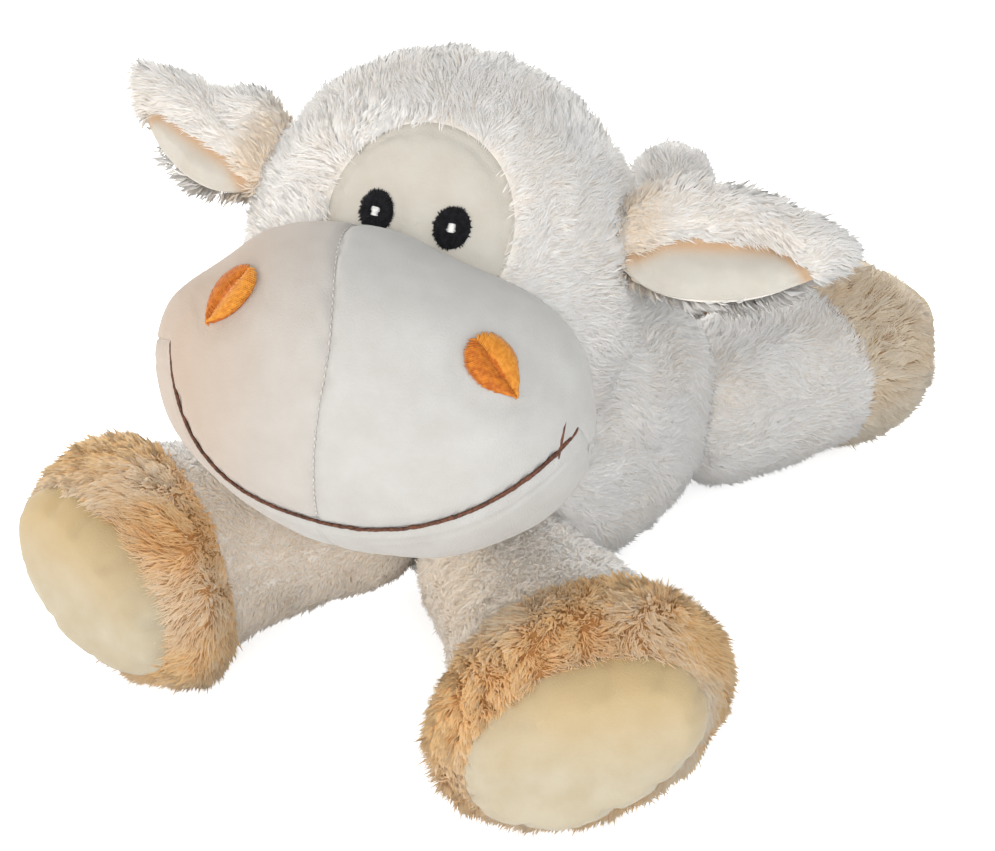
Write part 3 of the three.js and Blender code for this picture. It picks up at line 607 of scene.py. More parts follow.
def add_piece(mesh, material, body, replaces=()):
    """Puts a mesh into the scene with its material, under its body, and hides the nodes it stands for."""
    piece = bpy.data.objects.new(mesh.name, mesh)
    bpy.context.scene.collection.objects.link(piece)
    mesh.materials.append(material)
    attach(piece, body)
    if replaces:
        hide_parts(*replaces)


def triangle_mesh(name, points, triangles, normals, spread):
    """Mesh of many small closed shapes from whole arrays, with its shading normals and a map."""
    mesh = bpy.data.meshes.new(name)
    mesh.vertices.add(len(points))
    mesh.vertices.foreach_set("co", placed(points).astype(np.float32).ravel())
    corners = triangles.ravel().astype(np.int32)
    mesh.loops.add(len(corners))
    mesh.loops.foreach_set("vertex_index", corners)
    mesh.polygons.add(len(triangles))
    mesh.polygons.foreach_set("loop_start", np.arange(0, len(corners), 3, dtype=np.int32))
    mesh.update(calc_edges=True)
    layer = mesh.uv_layers.new(name="OFBake")
    layer.uv.foreach_set("vector", spread[corners].astype(np.float32).ravel())
    mesh.shade_smooth()
    mesh.normals_split_custom_set_from_vertices(normals)
    return mesh


# Pile


def scattered(grid, density, rng):
    """Points spread over a grid's cells in proportion to their areas, with the normals there."""
    normals = grid_normals(grid)
    first = grid[1:, 1:] - grid[:-1, :-1]
    second = grid[1:, :-1] - grid[:-1, 1:]
    areas = np.linalg.norm(np.cross(first, second), axis=-1).ravel() / 2
    sums = np.cumsum(areas)
    count = int(sums[-1] * density)
    picks = (np.arange(count) + rng.random(count)) / count * sums[-1]
    cells = np.minimum(np.searchsorted(sums, picks), len(sums) - 1)
    row, column = np.unravel_index(cells, first.shape[:2])
    down, along = rng.random((2, count, 1))

    def between(values):
        """Values inside the cells, from their four corners by the two shares."""
        upper = values[row, column] * (1 - along) + values[row, column + 1] * along
        lower = values[row + 1, column] * (1 - along) + values[row + 1, column + 1] * along
        return upper * (1 - down) + lower * down

    return between(grid), unit(between(normals))


def gathered(roots, tips, pile, rng):
    """Tips drawn towards the middle of their tuft. A tuft is a cell of a wavy lattice over the roots."""
    size = pile["tuft"]
    shake = np.stack([ripple(roots, 4 * size, seed) for seed in (11, 12, 13)], -1) * size * 0.6
    cells = np.floor((roots + shake) / size).astype(np.int64)
    keys = (cells * np.array([1, 4096, 4096 * 4096])).sum(-1)
    _, tuft = np.unique(keys, return_inverse=True)
    counts = np.bincount(tuft)
    middles = np.stack([np.bincount(tuft, tips[:, k]) / counts for k in range(3)], -1)
    return tips + (middles[tuft] - tips) * pile["gather"] * rng.uniform(0.3, 1.2, (len(tips), 1))


BLADE = np.array([(0, 1, 2), (3, 2, 1), (0, 3, 1), (0, 2, 3)])  # faces of root, two bend points and tip


def pile_mesh(name, grid, pile, lean, blocked, seed, tips_blocked=None, tint=None):
    """Pile on a grid: each strand is a thin closed blade of a root, two points at its bend and a tip. It
    starts near the skin's normal and bends over towards the lean, which wanders by a wavy field, and is
    pressed short near the floor. Its map holds its tint across and the way from root to tip upward."""
    tips_blocked = tips_blocked or blocked
    rng = np.random.default_rng(seed)
    roots, normals = scattered(grid, pile["density"], rng)
    free = ~blocked(roots)
    roots, normals = roots[free], normals[free]
    count = len(roots)
    over = lean(roots)
    over = unit(over - (over * normals).sum(-1, keepdims=True) * normals)
    aside = np.cross(normals, over)
    waves = 0.7 * ripple(roots, 45, seed + 1) + 0.5 * ripple(roots, 14, seed + 2)
    wander = waves + rng.normal(0, 0.35, count)
    over = over * np.cos(wander)[:, None] + aside * np.sin(wander)[:, None]
    tilt = np.radians(pile["lean"] + rng.normal(0, 11, count) + 9 * ripple(roots, 20, seed + 3))[:, None]
    length = pile["length"] * (rng.uniform(0.72, 1.12, count) + 0.1 * ripple(roots, 16, seed + 4))
    stray = np.where(rng.random(count) < STRAY_SHARE, STRAY_LENGTH, 1.0)
    length = (length * stray * (0.4 + 0.6 * eased(roots[:, 2] / FLOOR_PRESS)))[:, None]
    middles = roots + length * STRAND_FOOT * (normals * np.cos(tilt * 0.6) + over * np.sin(tilt * 0.6))
    tips = middles + length * STRAND_END * (normals * np.cos(tilt * 1.25) + over * np.sin(tilt * 1.25))
    tips = gathered(roots, tips, pile, rng)
    free = ~(tips_blocked(tips) | tips_blocked(middles))
    roots, normals, middles, tips = roots[free], normals[free], middles[free], tips[free]
    count = len(roots)

    axis = unit(tips - roots)
    flat = unit(np.cross(axis, normals) + rng.normal(0, 0.5, (count, 3)))
    flat = unit(flat - (flat * axis).sum(-1, keepdims=True) * axis)
    width = flat * pile["width"] * rng.uniform(0.7, 1.2, (count, 1))
    middles = middles + unit(np.cross(flat, axis)) * pile["width"] * 0.7
    turned_in = (np.cross(middles - roots, width) * (tips - roots)).sum(-1, keepdims=True) > 0
    width = np.where(turned_in, -width, width)
    points = np.stack([roots, middles - width, middles + width, tips], 1)
    points[:, 1:, 2] = np.maximum(points[:, 1:, 2], FLOOR_RISE)
    edge = 0.4 * unit(width)
    shading = unit(np.stack([normals, normals - edge, normals + edge, normals + 0.3 * axis], 1))

    shares = tint(roots) if tint else pile["tint"]
    shares = shares + pile["blotch"] * ripple(roots, 50, seed + 5) + rng.normal(0, 0.14, count)
    spread = np.empty((count, 4, 2))
    spread[..., 0] = np.clip(shares, *MAP_LIMITS)[:, None] + MAP_ACROSS
    spread[..., 1] = MAP_UPWARD
    triangles = (np.arange(count)[:, None, None] * 4 + BLADE).reshape(-1, 3)
    return triangle_mesh(
        name, points.reshape(-1, 3), triangles, shading.reshape(-1, 3), spread.reshape(-1, 2))


# Materials
NAP_PATCHES, NAP_FIBRES, THREAD_STRANDS = 90.0, 1400.0, 700.0  # features to a metre
FIBRE_RELIEF, FIBRE_HEIGHT = 0.4, 0.0005  # strength, and metres


def colour(red, green, blue):
    """Linear colour of 0 to 255 screen values."""
    value = np.array([red, green, blue]) / 255
    low = value <= 0.04045
    return (*np.where(low, value / 12.92, ((value + 0.055) / 1.055) ** 2.4), 1.0)


def new_material(name, roughness, sheen=0.0, specular=0.2):
    """Rough material with a sheen and a little gloss, and what its nodes are made with."""
    material = bpy.data.materials.new(name)
    material.use_nodes = True
    shader = material.node_tree.nodes["Principled BSDF"]
    shader.inputs["Roughness"].default_value = roughness
    shader.inputs["Sheen Weight"].default_value = sheen
    shader.inputs["Sheen Roughness"].default_value = 0.5
    shader.inputs["Specular IOR Level"].default_value = specular
    return material, material.node_tree.nodes, material.node_tree.links, shader


def ramp(nodes, stops):
    """Colours between stops of (position, screen values)."""
    node = nodes.new("ShaderNodeValToRGB")
    while len(node.color_ramp.elements) < len(stops):
        node.color_ramp.elements.new(0.5)
    for element, (position, shade) in zip(node.color_ramp.elements, stops):
        element.position = position
        element.color = colour(*shade)
    return node


def mixed(nodes, links, factor, first, second):
    """First colour where the factor is 0, second where it is 1."""
    node = nodes.new("ShaderNodeMix")
    node.data_type = "RGBA"
    links.new(factor, node.inputs["Factor"])
    links.new(first, node.inputs["A"])
    links.new(second, node.inputs["B"])
    return node.outputs["Result"]


def noise(nodes, links, scale, detail):
    """Noise over the piece's own place, in features to a metre."""
    place = nodes.new("ShaderNodeTexCoord")
    node = nodes.new("ShaderNodeTexNoise")
    node.inputs["Scale"].default_value = scale
    node.inputs["Detail"].default_value = detail
    links.new(place.outputs["Object"], node.inputs["Vector"])
    return node.outputs["Fac"]


def pile_material(name, clear_stops, warm_stops):
    """Strands coloured from root to tip by the map's height, between a clear and a warm colour by its
    width.
    """
    material, nodes, links, shader = new_material(name, 0.8, 0.1, 0.15)
    spread = nodes.new("ShaderNodeUVMap")
    spread.uv_map = "OFBake"
    parts = nodes.new("ShaderNodeSeparateXYZ")
    links.new(spread.outputs["UV"], parts.inputs["Vector"])
    clear, warm = ramp(nodes, clear_stops), ramp(nodes, warm_stops)
    links.new(parts.outputs["Y"], clear.inputs["Fac"])
    links.new(parts.outputs["Y"], warm.inputs["Fac"])
    shade = mixed(nodes, links, parts.outputs["X"], clear.outputs["Color"], warm.outputs["Color"])
    links.new(shade, shader.inputs["Base Color"])
    return material


def cloth_material(name, pale, deep, warm=None):
    """Cloth with soft broad patches of brushed nap, a warm tint by its share, and a fine fibre relief."""
    material, nodes, links, shader = new_material(name, 0.95, 0.25, 0.1)
    patches = ramp(nodes, [(0.3, deep), (0.7, pale)])
    links.new(noise(nodes, links, NAP_PATCHES, 6.0), patches.inputs["Fac"])
    shade = patches.outputs["Color"]
    if warm:
        share = nodes.new("ShaderNodeAttribute")
        share.attribute_name = "warmth"
        dye = nodes.new("ShaderNodeRGB")
        dye.outputs["Color"].default_value = colour(*warm)
        shade = mixed(nodes, links, share.outputs["Fac"], shade, dye.outputs["Color"])
    links.new(shade, shader.inputs["Base Color"])
    bump = nodes.new("ShaderNodeBump")
    bump.inputs["Strength"].default_value = FIBRE_RELIEF
    bump.inputs["Distance"].default_value = FIBRE_HEIGHT
    links.new(noise(nodes, links, NAP_FIBRES, 3.0), bump.inputs["Height"])
    links.new(bump.outputs["Normal"], shader.inputs["Normal"])
    return material


def thread_material(name, pale, deep, roughness=0.55, specular=0.3):
    """Smooth thread, with light and dark strands."""
    material, nodes, links, shader = new_material(name, roughness, 0.05, specular)
    strands = ramp(nodes, [(0.35, deep), (0.65, pale)])
    links.new(noise(nodes, links, THREAD_STRANDS, 2.0), strands.inputs["Fac"])
    links.new(strands.outputs["Color"], shader.inputs["Base Color"])
    return material


# Both piles are darker towards the root: partly their own deeper tone there and partly painted shade at the
# base of the pile.
WHITE_HAIR = pile_material(
    "white_long_pile",
    [(0.0, (242, 239, 234)), (0.35, (250, 249, 247)), (1.0, (254, 254, 253))],
    [(0.0, (224, 190, 152)), (0.35, (240, 220, 194)), (1.0, (250, 240, 226))],
)
TAN_HAIR = pile_material(
    "tan_long_pile",
    [(0.0, (210, 192, 164)), (0.4, (229, 214, 190)), (1.0, (244, 234, 217))],
    [(0.0, (196, 130, 68)), (0.4, (226, 172, 110)), (1.0, (245, 212, 160))],
)
WHITE_BACKING = cloth_material("white_backing", (247, 244, 239), (241, 234, 224))
TAN_BACKING = cloth_material("tan_backing", (205, 160, 108), (186, 138, 86))
# The muzzle cloth's warm colour is painted warm light; the cream cloth's warm colour is painted shade in
# the ears' folds.
MUZZLE_CLOTH = cloth_material("muzzle_short_pile", (197, 197, 195), (190, 189, 186), (187, 159, 133))
CREAM_CLOTH = cloth_material("cream_short_pile", (208, 204, 195), (201, 195, 184), (196, 152, 106))
SOLE_CLOTH = cloth_material("sole_short_pile", (198, 189, 167), (190, 177, 150), (196, 170, 124))
BLACK_THREAD = thread_material("black_thread", (30, 30, 34), (14, 14, 16), 0.75, 0.1)
SEAM_THREAD = thread_material("seam_thread", (216, 214, 209), (203, 200, 195))
WHITE_THREAD = thread_material("white_thread", (250, 250, 248), (222, 222, 220))
GOLD_THREAD = thread_material("gold_thread", (224, 154, 58), (202, 126, 38))
# A darker copy of the gold thread: painted shade on one half of each nostril.
SHADED_GOLD_THREAD = thread_material("gold_thread_painted_shade", (210, 128, 40), (178, 94, 26))
RUST_THREAD = thread_material("rust_thread", (206, 112, 28), (176, 84, 18))
BROWN_THREAD = thread_material("brown_thread", (112, 68, 48), (66, 40, 28))
FIBRE_FILL = cloth_material("fibre_fill", (246, 246, 244), (228, 228, 226))


# Body


def belly_seam_rise():
    """The superellipse's own angle at the height of the belly's seam."""
    height = (BELLY_SEAM - BODY_CENTRE[2]) / (BODY[2] / 2 - SKIN_DEPTH)
    return -np.arcsin(np.abs(height) ** (BODY_FULLNESS / 2))


def body_panel_grid(sign, rows=44, columns=60):
    """Left or right half of the body's form, from the belly's seam to the top."""
    return body_angles_grid(np.linspace(belly_seam_rise(), np.pi / 2, rows + 1), half_round(sign, columns))


def belly_grid(rows=14, columns=96):
    """The body's form from its lowest point to the belly's seam."""
    rise = np.linspace(-np.pi / 2, belly_seam_rise(), rows + 1)
    return body_angles_grid(rise, np.linspace(0, 2 * np.pi, columns + 1))


def body_angles_grid(rise, around, growth=-SKIN_DEPTH):
    """Superellipse by its own two angles, a up and b round: parts cos(a) cos(b), cos(a) sin(b) and sin(a),
    each cosine and sine to the power 2 / 2.5, drawn clear of the hollows and lifted off the floor."""
    def power(values):
        """Power 2 / 2.5 that keeps the sign."""
        return np.sign(values) * np.abs(values) ** (2 / BODY_FULLNESS)

    level, height = power(np.cos(rise))[:, None], power(np.sin(rise))[:, None]
    across, back = level * power(np.cos(around)), level * power(np.sin(around))
    parts = np.stack([across, back, height + 0 * around], -1)
    parts[np.abs(parts) < 1e-9] = 0
    points = drawn_clear(body_from_parts(parts, growth), BODY_CENTRE, body_hollowed)
    points[..., 2] = np.maximum(points[..., 2], FLOOR_RISE)
    return points


def body_hollowed(points):
    """Inside a hollow for a leg's root, the tail, the neck or the head."""
    hips = ((on_side(leg.hip, leg.side), leg.root) for leg in LEG_FORMS)
    hit = any_of(in_ball(points, hip, root + JOINT_ROOM) for hip, root in hips)
    hit = hit | in_ball(points, TAIL_CENTRE, TAIL_ROOT + JOINT_ROOM) | in_neck(points)
    return hit | in_head_sweep(points, SKIN_CLEARANCE)


def in_any_leg(points, inset):
    """Inside one of the four legs."""
    return any_of(leg.inside(points, inset) for leg in LEG_FORMS)


def in_tail(points, inset):
    """Nearer to the tail's axis than its radius, which grows evenly from root to tip."""
    along = np.clip((points - TAIL_CENTRE) @ TAIL_AXIS, 0, TAIL_LENGTH)[..., None]
    radius = TAIL_ROOT + (TAIL_RADIUS - TAIL_ROOT) * along[..., 0] / TAIL_LENGTH - inset
    return ((points - TAIL_CENTRE - along * TAIL_AXIS) ** 2).sum(-1) < radius**2


def body_pile_blocked(points):
    """Where a leg, the tail, the head or the muzzle lies on the body."""
    return (in_any_leg(points, 5) | in_tail(points, 5) | in_ellipsoid(points, HEAD_PLACE, HEAD - 4)
            | in_muzzle(points, 1))


def backward_and_down(points):
    """The way the body's pile lies."""
    return np.array([0.0, 0.8, -0.5]) + 0 * points


def add_white_cover(name, grid, shaggy, node, seed):
    """Backing of one of the body's covers, and long pile on the shaggy part of its grid."""
    cover = sewn_mesh(f"{name}_cover", grid, BACKING)
    add_piece(cover, WHITE_BACKING, "torso", [node])
    hair = pile_mesh(f"{name}_pile", shaggy, LONG_PILE, backward_and_down, body_pile_blocked, seed)
    add_piece(hair, WHITE_HAIR, "torso")


def add_body():
    """Two flanks and the belly, whose underside is bare."""
    for seed, (side, sign) in enumerate(SIDES.items()):
        grid = body_panel_grid(sign)
        add_white_cover(f"body_{side}", grid, grid, f"body_{side}_panel", 100 + 10 * seed)
    grid = belly_grid()
    add_white_cover("belly", grid, grid[6:], "belly_panel", 120)


# Head


def head_pile_blocked(points, face_share=0.97):
    """On the face's oval, which has a ragged edge, or in the muzzle, the body or an ear."""
    local = HEAD_PLACE.back(points)
    height = (local[..., 2] - FACE_MIDDLE) / (FACE_TOP - FACE_MIDDLE)
    across = (local[..., 0] - FACE_SHIFT) / FACE_HALF
    ragged = 0.05 * ripple(local, 7, 21) + 0.1 * ripple(local, 2, 22)
    on_face = (across**2 + height**2 < face_share + ragged) & (local[..., 1] < 0)
    in_ears = any_of(in_ear(points, sign, 2) for sign in SIDES.values())
    return on_face | in_ears | in_muzzle(points, 0.5) | in_body(points, -5)


def away_from_face(points):
    """The way the head's pile lies: away from a point on the head's front."""
    return points - HEAD_PLACE.out(np.array([0, -HEAD[1], -5.0]))


def add_head():
    """Two halves of the head's ellipsoid with a hollow for the neck, and their pile."""
    rise = np.linspace(-np.pi / 2, np.pi / 2, 65)[:, None]
    for seed, (side, sign) in enumerate(SIDES.items()):
        directions = ball_directions(rise, half_round(sign, 60))
        directions[np.abs(directions) < 1e-9] = 0
        grid = HEAD_PLACE.out(directions * (HEAD - SKIN_DEPTH))
        grid = drawn_clear(grid, HEAD_PLACE.origin, in_neck)
        cover = sewn_mesh(f"head_{side}_cover", grid, BACKING)
        add_piece(cover, WHITE_BACKING, "head", [f"head_{side}_panel"])
        hair = pile_mesh(f"head_{side}_pile", grid, LONG_PILE, away_from_face, head_pile_blocked,
                         200 + 10 * seed, lambda p: head_pile_blocked(p, 0.82))
        add_piece(hair, WHITE_HAIR, "head")


def add_neck():
    """Pile on the ball of the neck, where it shows between the head and the body."""
    def blocked(points):
        """Deep in the head or the body, or in the muzzle."""
        return in_ellipsoid(points, HEAD_PLACE, HEAD - 6) | in_body(points, -12) | in_muzzle(points, 0)

    grid = NECK_CENTRE + ball_grid(30, 48) * (NECK_RADIUS - 1)
    hair = pile_mesh("neck_pile", grid, LONG_PILE, backward_and_down, blocked, 240)
    add_piece(hair, WHITE_HAIR, "neck")


# Face


def face_surface(across, height):
    """Front of the head under the smooth face, swelling a little towards its middle."""
    share = ((across - FACE_SHIFT) / FACE_HALF) ** 2
    share = share + ((height - FACE_MIDDLE) / (FACE_TOP - FACE_MIDDLE)) ** 2
    point = front_of(HEAD - FACE_DEPTH, across, height)
    swell = 1.6 - 1.7 * np.clip(share, 0, 1.2) ** 3 - 8 * np.clip(share - 0.98, 0, 1)
    return point + unit(point / HEAD**2) * swell[..., None]


def add_face():
    """Oval patch on the front of the head, held at its edge and under the eyes."""
    share = np.linspace(0, 1.07, 33)[:, None]
    angle = np.linspace(0, 2 * np.pi, 73)
    across = FACE_SHIFT + FACE_HALF * share * np.cos(angle)
    height = FACE_MIDDLE + (FACE_TOP - FACE_MIDDLE) * share * np.sin(angle)
    grid = HEAD_PLACE.out(face_surface(across, height))
    held = share + 0 * angle > 0.9
    for sign in SIDES.values():
        beside = (across - FACE_SHIFT - sign * EYE_ACROSS) / (EYE_HALF[0] + 3)
        held |= beside**2 + ((height - EYE_HEIGHT) / (EYE_HALF[1] + 3)) ** 2 < 1
    patch = sewn_mesh("face_patch_cover", stuffed(grid, held, FACE_CAP), SHORT_CLOTH)
    add_piece(patch, CREAM_CLOTH, "head", ["face_patch"])


# Muzzle


def muzzle_ease(across, angle):
    """How far the top sinks, from 68 degrees up and fading behind: a round dip under the eyes, a swell of
    the left shoulder and a sinking right one, which fade at the ends."""
    dip = TOP_DIP * np.exp(-(((across - 18) / 20) ** 2))
    ends = eased((MUZZLE[0] - np.abs(across)) / 12)
    shoulders = RIGHT_SINK * eased((-across - 43) / 22) - LEFT_SWELL * eased((across - 35) / 35)
    turn = np.degrees(angle)
    return (dip + shoulders * ends) * eased((turn - 68) / 42) * eased((180 - turn) / 40)


def in_muzzle(points, growth):
    """Inside the muzzle's ellipsoid, grown by a length and less by what its top sinks."""
    local = MUZZLE_PLACE.back(points)
    angle = np.arctan2(local[..., 2] / MUZZLE[2], -local[..., 1] / MUZZLE[1])
    radii = MUZZLE + (growth - muzzle_ease(local[..., 0], angle))[..., None]
    return ((local / radii) ** 2).sum(-1) < 1


def mouth_height(across):
    """Lowest in the middle and rising as a power of the way to each end."""
    end, rise, power = (np.where(across > 0, *pair) for pair in zip(MOUTH_SIDES[1], MOUTH_SIDES[-1]))
    return rise * np.abs(across / end) ** power - MOUTH_LOW


def muzzle_point(across, angle, lift):
    """Section of the muzzle at a place across: angle 0 looks ahead and 90 degrees up."""
    share = np.sqrt(np.maximum(1 - (across / MUZZLE[0]) ** 2, 0))
    ahead, height = MUZZLE[1] * share * np.cos(angle), MUZZLE[2] * share * np.sin(angle)
    point = np.stack([across + 0 * angle, -ahead, height], -1)
    return point + unit(point / MUZZLE**2) * lift[..., None]


def muzzle_normals(local):
    """Normals of the muzzle's ellipsoid in the layout: each part over its radius squared."""
    return unit(local / MUZZLE**2) @ MUZZLE_PLACE.turn.T


def mouth_angle(across):
    """Angle of the mouth's seam. Past the mouth's ends the seam keeps the angle it has there."""
    across = np.clip(across, -MOUTH_SIDES[-1][0], MOUTH_SIDES[1][0])
    share = np.sqrt(1 - (across / MUZZLE[0]) ** 2)
    return np.arcsin(mouth_height(across) / (MUZZLE[2] * share))


def seam_dip(distance, depth, width):
    """Groove of a depth and width along a seam: a bell curve of the distance from it."""
    return -depth * np.exp(-((distance / width) ** 2))


def seam_across(angle):
    """Place of the middle seam, which strays to the right on its way up to the face."""
    return SEAM_SHIFT * eased((np.degrees(angle) - 35) / 75)


def muzzle_grid(sign, upper, rows=48, columns=64):
    """A quarter of the muzzle beside its middle seam, above or below the mouth's seam. Rows run from the
    middle seam to the side, columns from the mouth over the top or under the chin to the muzzle's back. The
    cloth dips along the seams, with a small pucker at each stitch of the middle seam."""
    turn = np.pi / 2 * np.linspace(0, 1, rows + 1)[:, None] ** 1.4
    beside = sign * MUZZLE[0] * np.sin(turn)
    share = np.linspace(0, 1, columns + 1) ** 1.3
    start = mouth_angle(beside)
    stop = np.pi if upper else -np.pi
    angle = start + (stop - start) * share
    across = beside + seam_across(angle) * np.cos(turn) ** 2
    away = np.abs(angle - start) * MUZZLE[2] * np.cos(turn)
    mouth_end = MOUTH_SIDES[sign][0]
    lift = seam_dip(beside, 0.5, 1.2) + seam_dip(away, 0.8, 1.5) * eased((mouth_end - np.abs(beside)) / 6)
    lift = lift - 0.2 * np.exp(-((beside / 3.2) ** 2)) * (1 + np.cos(angle * MUZZLE[2] * 2 * np.pi / 4.2))
    lift = lift - muzzle_ease(across, angle)
    soft = muzzle_point(across, angle, 0 * angle)
    softness = np.clip(away / 20, 0, 1) * np.clip(np.abs(beside) / 12, 0, 1)
    softness = softness * np.clip((np.pi - np.abs(angle)) * 3, 0, 1)
    lift = lift + 0.7 * ripple(soft, 48, 51) * softness
    if not upper:
        lift = lift + CHIN_SWELL * np.clip(away / 18, 0, 1) * np.cos(turn) * eased((angle + np.pi) / 0.7)
        lift = lift + seam_dip(away - CHIN_FOLD, 0.5, 1.3)
    return MUZZLE_PLACE.out(muzzle_point(across, angle, lift))


def muzzle_held(grid):
    """Where a cover of the muzzle is sewn: at its seams and inside the head."""
    held = in_ellipsoid(grid, HEAD_PLACE, HEAD - 4)
    held[[0, 1, -2, -1]] = True
    held[:, [0, 1, -2, -1]] = True
    return held


def nostril_middle(sign):
    """A nostril's middle on the muzzle's front. The left one lies a little lower than the right."""
    across = np.array(sign * NOSTRIL_ACROSS + NOSTRIL_SHIFT)
    return front_of(MUZZLE, across, np.array(NOSTRIL_HEIGHT - sign * NOSTRIL_TILT))


def on_nostril(grid, sign):
    """Where the embroidery of a nostril holds the cloth."""
    local = MUZZLE_PLACE.back(grid)
    middle = nostril_middle(sign)
    return in_ball(local, middle, NOSTRIL_LENGTH / 2 + 3)


def add_muzzle():
    """The right panel is warmer beside the middle seam than the left one, and grows warmer to its side:
    painted warm light from the sheep's right, also on the chin.
    """
    def painted_warm_light(points):
        """Share of the warm tint, painted warm light, which grows from the middle to the muzzle's right
        end.
        """
        return 0.5 * eased(-MUZZLE_PLACE.back(points)[..., 0] / 62)

    for side, sign in SIDES.items():
        grid = muzzle_grid(sign, True)
        grid = stuffed(grid, muzzle_held(grid) | on_nostril(grid, sign), MUZZLE_CAP)
        # Each panel's own share of the warm tint is painted warm light too.
        panel_warm_light = 0.02 if sign > 0 else 0.14
        cover = warm_tinted(sewn_mesh(f"muzzle_{side}_cover", grid, SHORT_CLOTH),
                     lambda p: panel_warm_light + painted_warm_light(p))
        add_piece(cover, MUZZLE_CLOTH, "head", [f"muzzle_{side}_panel"])
    grid = np.concatenate([muzzle_grid(-1, False)[::-1], muzzle_grid(1, False)[1:]])
    grid = stuffed(grid, muzzle_held(grid), MUZZLE_CAP)
    cover = warm_tinted(sewn_mesh("chin_cover", grid, SHORT_CLOTH), painted_warm_light)
    add_piece(cover, MUZZLE_CLOTH, "head", ["chin_panel"])


# Embroidery


def stitch_mesh(name, paths, ups, width, height):
    """Many stitches, each a flat five-sided thread along a path of five points, thin at both ends.
    Section point k lies at angle 90 + 72 k: width sideways and height along the surface's normal."""
    count, stations = paths.shape[:2]
    ahead = unit(np.gradient(paths, axis=1))
    sideways = unit(np.cross(ahead, ups))
    corner = np.arange(STITCH_SIDES)
    angles = np.radians(90 + 360 / STITCH_SIDES * corner)
    ring = (sideways[:, :, None] * np.cos(angles)[:, None] * width
            + ups[:, :, None] * np.sin(angles)[:, None] * height)
    points = (paths[:, :, None] + ring * STITCH_TAPER[None, :, None, None]).reshape(-1, 3)
    station = np.arange(stations - 1)[:, None] * STITCH_SIDES
    here, beside = station + corner, station + (corner + 1) % STITCH_SIDES
    band = np.stack([here, beside, beside + STITCH_SIDES, here + STITCH_SIDES], -1).reshape(-1, 4)
    caps = np.stack([corner[::-1], corner + STITCH_SIDES * (stations - 1)])
    first = np.arange(count)[:, None, None] * STITCH_SIDES * stations
    quads = (first + band).reshape(-1, 4)
    caps = (first + caps).reshape(-1, STITCH_SIDES)
    return finished_mesh(name, points, quads.tolist() + caps.tolist())


def straight_paths(starts, ends, surface):
    """Stitches between flat places, laid on a surface with a low arch. The surface is a function that
    gives points and normals."""
    share = np.linspace(0, 1, STITCH_POINTS)[None, :, None]
    flat = starts[:, None] * (1 - share) + ends[:, None] * share
    points, ups = surface(flat)
    return points + ups * (0.45 * np.sin(np.pi * share) + 0.15), ups


def eye_surface(sign):
    """Flat places about an eye's middle, sideways and up, on the smooth face."""
    def surface(flat):
        across, height = FACE_SHIFT + sign * EYE_ACROSS + flat[..., 0], EYE_HEIGHT + flat[..., 1]
        local = face_surface(across, height)
        ups = unit(local / (HEAD - FACE_DEPTH) ** 2)
        return HEAD_PLACE.out(local), ups @ HEAD_PLACE.turn.T
    return surface


def dome_grid(surface, outline, rise, rows=10, columns=64):
    """Low dome over an outline about the middle of a surface. Its height falls as the square of the way
    out."""
    share = np.linspace(0, 1, rows + 1)[:, None]
    angles = np.linspace(0, 2 * np.pi, columns + 1)
    flat = outline(angles) * share[..., None]
    points, ups = surface(flat)
    return points + ups * (rise * (1 - share**2) + 0.1)[..., None]


def unit_circle(angles):
    """Points of a unit circle, across and up."""
    return np.stack([np.cos(angles), np.sin(angles)], -1)


def add_eyes():
    """Black domes, stitches that run out from their middles, and a few white stitches on top."""
    for seed, (side, sign) in enumerate(SIDES.items()):
        rng = np.random.default_rng(400 + seed)
        surface = eye_surface(sign)
        ground = dome_grid(surface, lambda angles: unit_circle(angles) * (EYE_HALF - 0.5), 0.9)
        disc = sewn_mesh(f"eye_{side}_ground", ground, 0.8)
        add_piece(disc, BLACK_THREAD, "head", [f"eye_{side}"])

        angles = np.linspace(0, 2 * np.pi, EYE_RAYS, endpoint=False) + rng.normal(0, 0.02, EYE_RAYS)
        rays = unit_circle(angles)
        inner = rays * EYE_HALF * rng.uniform(0.2, 0.4, (EYE_RAYS, 1))
        outer = rays * (EYE_HALF + rng.uniform(-0.45, 0.4, (EYE_RAYS, 1)))
        paths, ups = straight_paths(inner, outer, surface)
        stitches = stitch_mesh(f"eye_{side}_stitches", paths + ups * 0.35, ups, 0.42, 0.4)
        add_piece(stitches, BLACK_THREAD, "head")

        rows = np.linspace(-1, 1, HIGHLIGHT_ROWS)[:, None] * HIGHLIGHT[1] / 2
        reach = HIGHLIGHT[0] / 2 * rng.uniform(0.75, 1.05, (HIGHLIGHT_ROWS, 1))
        paths, ups = straight_paths(np.hstack([-reach, rows]), np.hstack([reach, rows]), surface)
        light = stitch_mesh(f"eye_{side}_highlight", paths + ups * 1.1, ups, 0.36, 0.35)
        add_piece(light, WHITE_THREAD, "head", [f"eye_highlight_{side}"])


def muzzle_surface(middle, along, sideways):
    """Flat places about a middle, laid on the muzzle by drawing them to it from its centre."""
    def surface(flat):
        local = middle + flat[..., :1] * along + flat[..., 1:] * sideways
        local = local / np.linalg.norm(local / MUZZLE, axis=-1, keepdims=True)
        return MUZZLE_PLACE.out(local), muzzle_normals(local)
    return surface


def leaf_half_width(along):
    """Half width of the nostril's leaf: round at its blunt end and drawn to a point at the other."""
    share = along / NOSTRIL_LENGTH + 0.5
    blunt = np.sqrt(np.clip(1 - ((0.38 - share) / 0.38) ** 2, 0, 1))
    point = 1 - np.clip((share - 0.38) / 0.62, 0, 1) ** 2.3
    return NOSTRIL_WIDTH / 2 * np.where(share < 0.38, blunt, point)


def leaf_outline(angles):
    """Outline of the ground under a nostril's stitches, a little inside their ends."""
    along = NOSTRIL_LENGTH / 2 * np.cos(angles) * 0.97
    return np.stack([along, np.sign(np.sin(angles)) * leaf_half_width(along) * 0.93], -1)


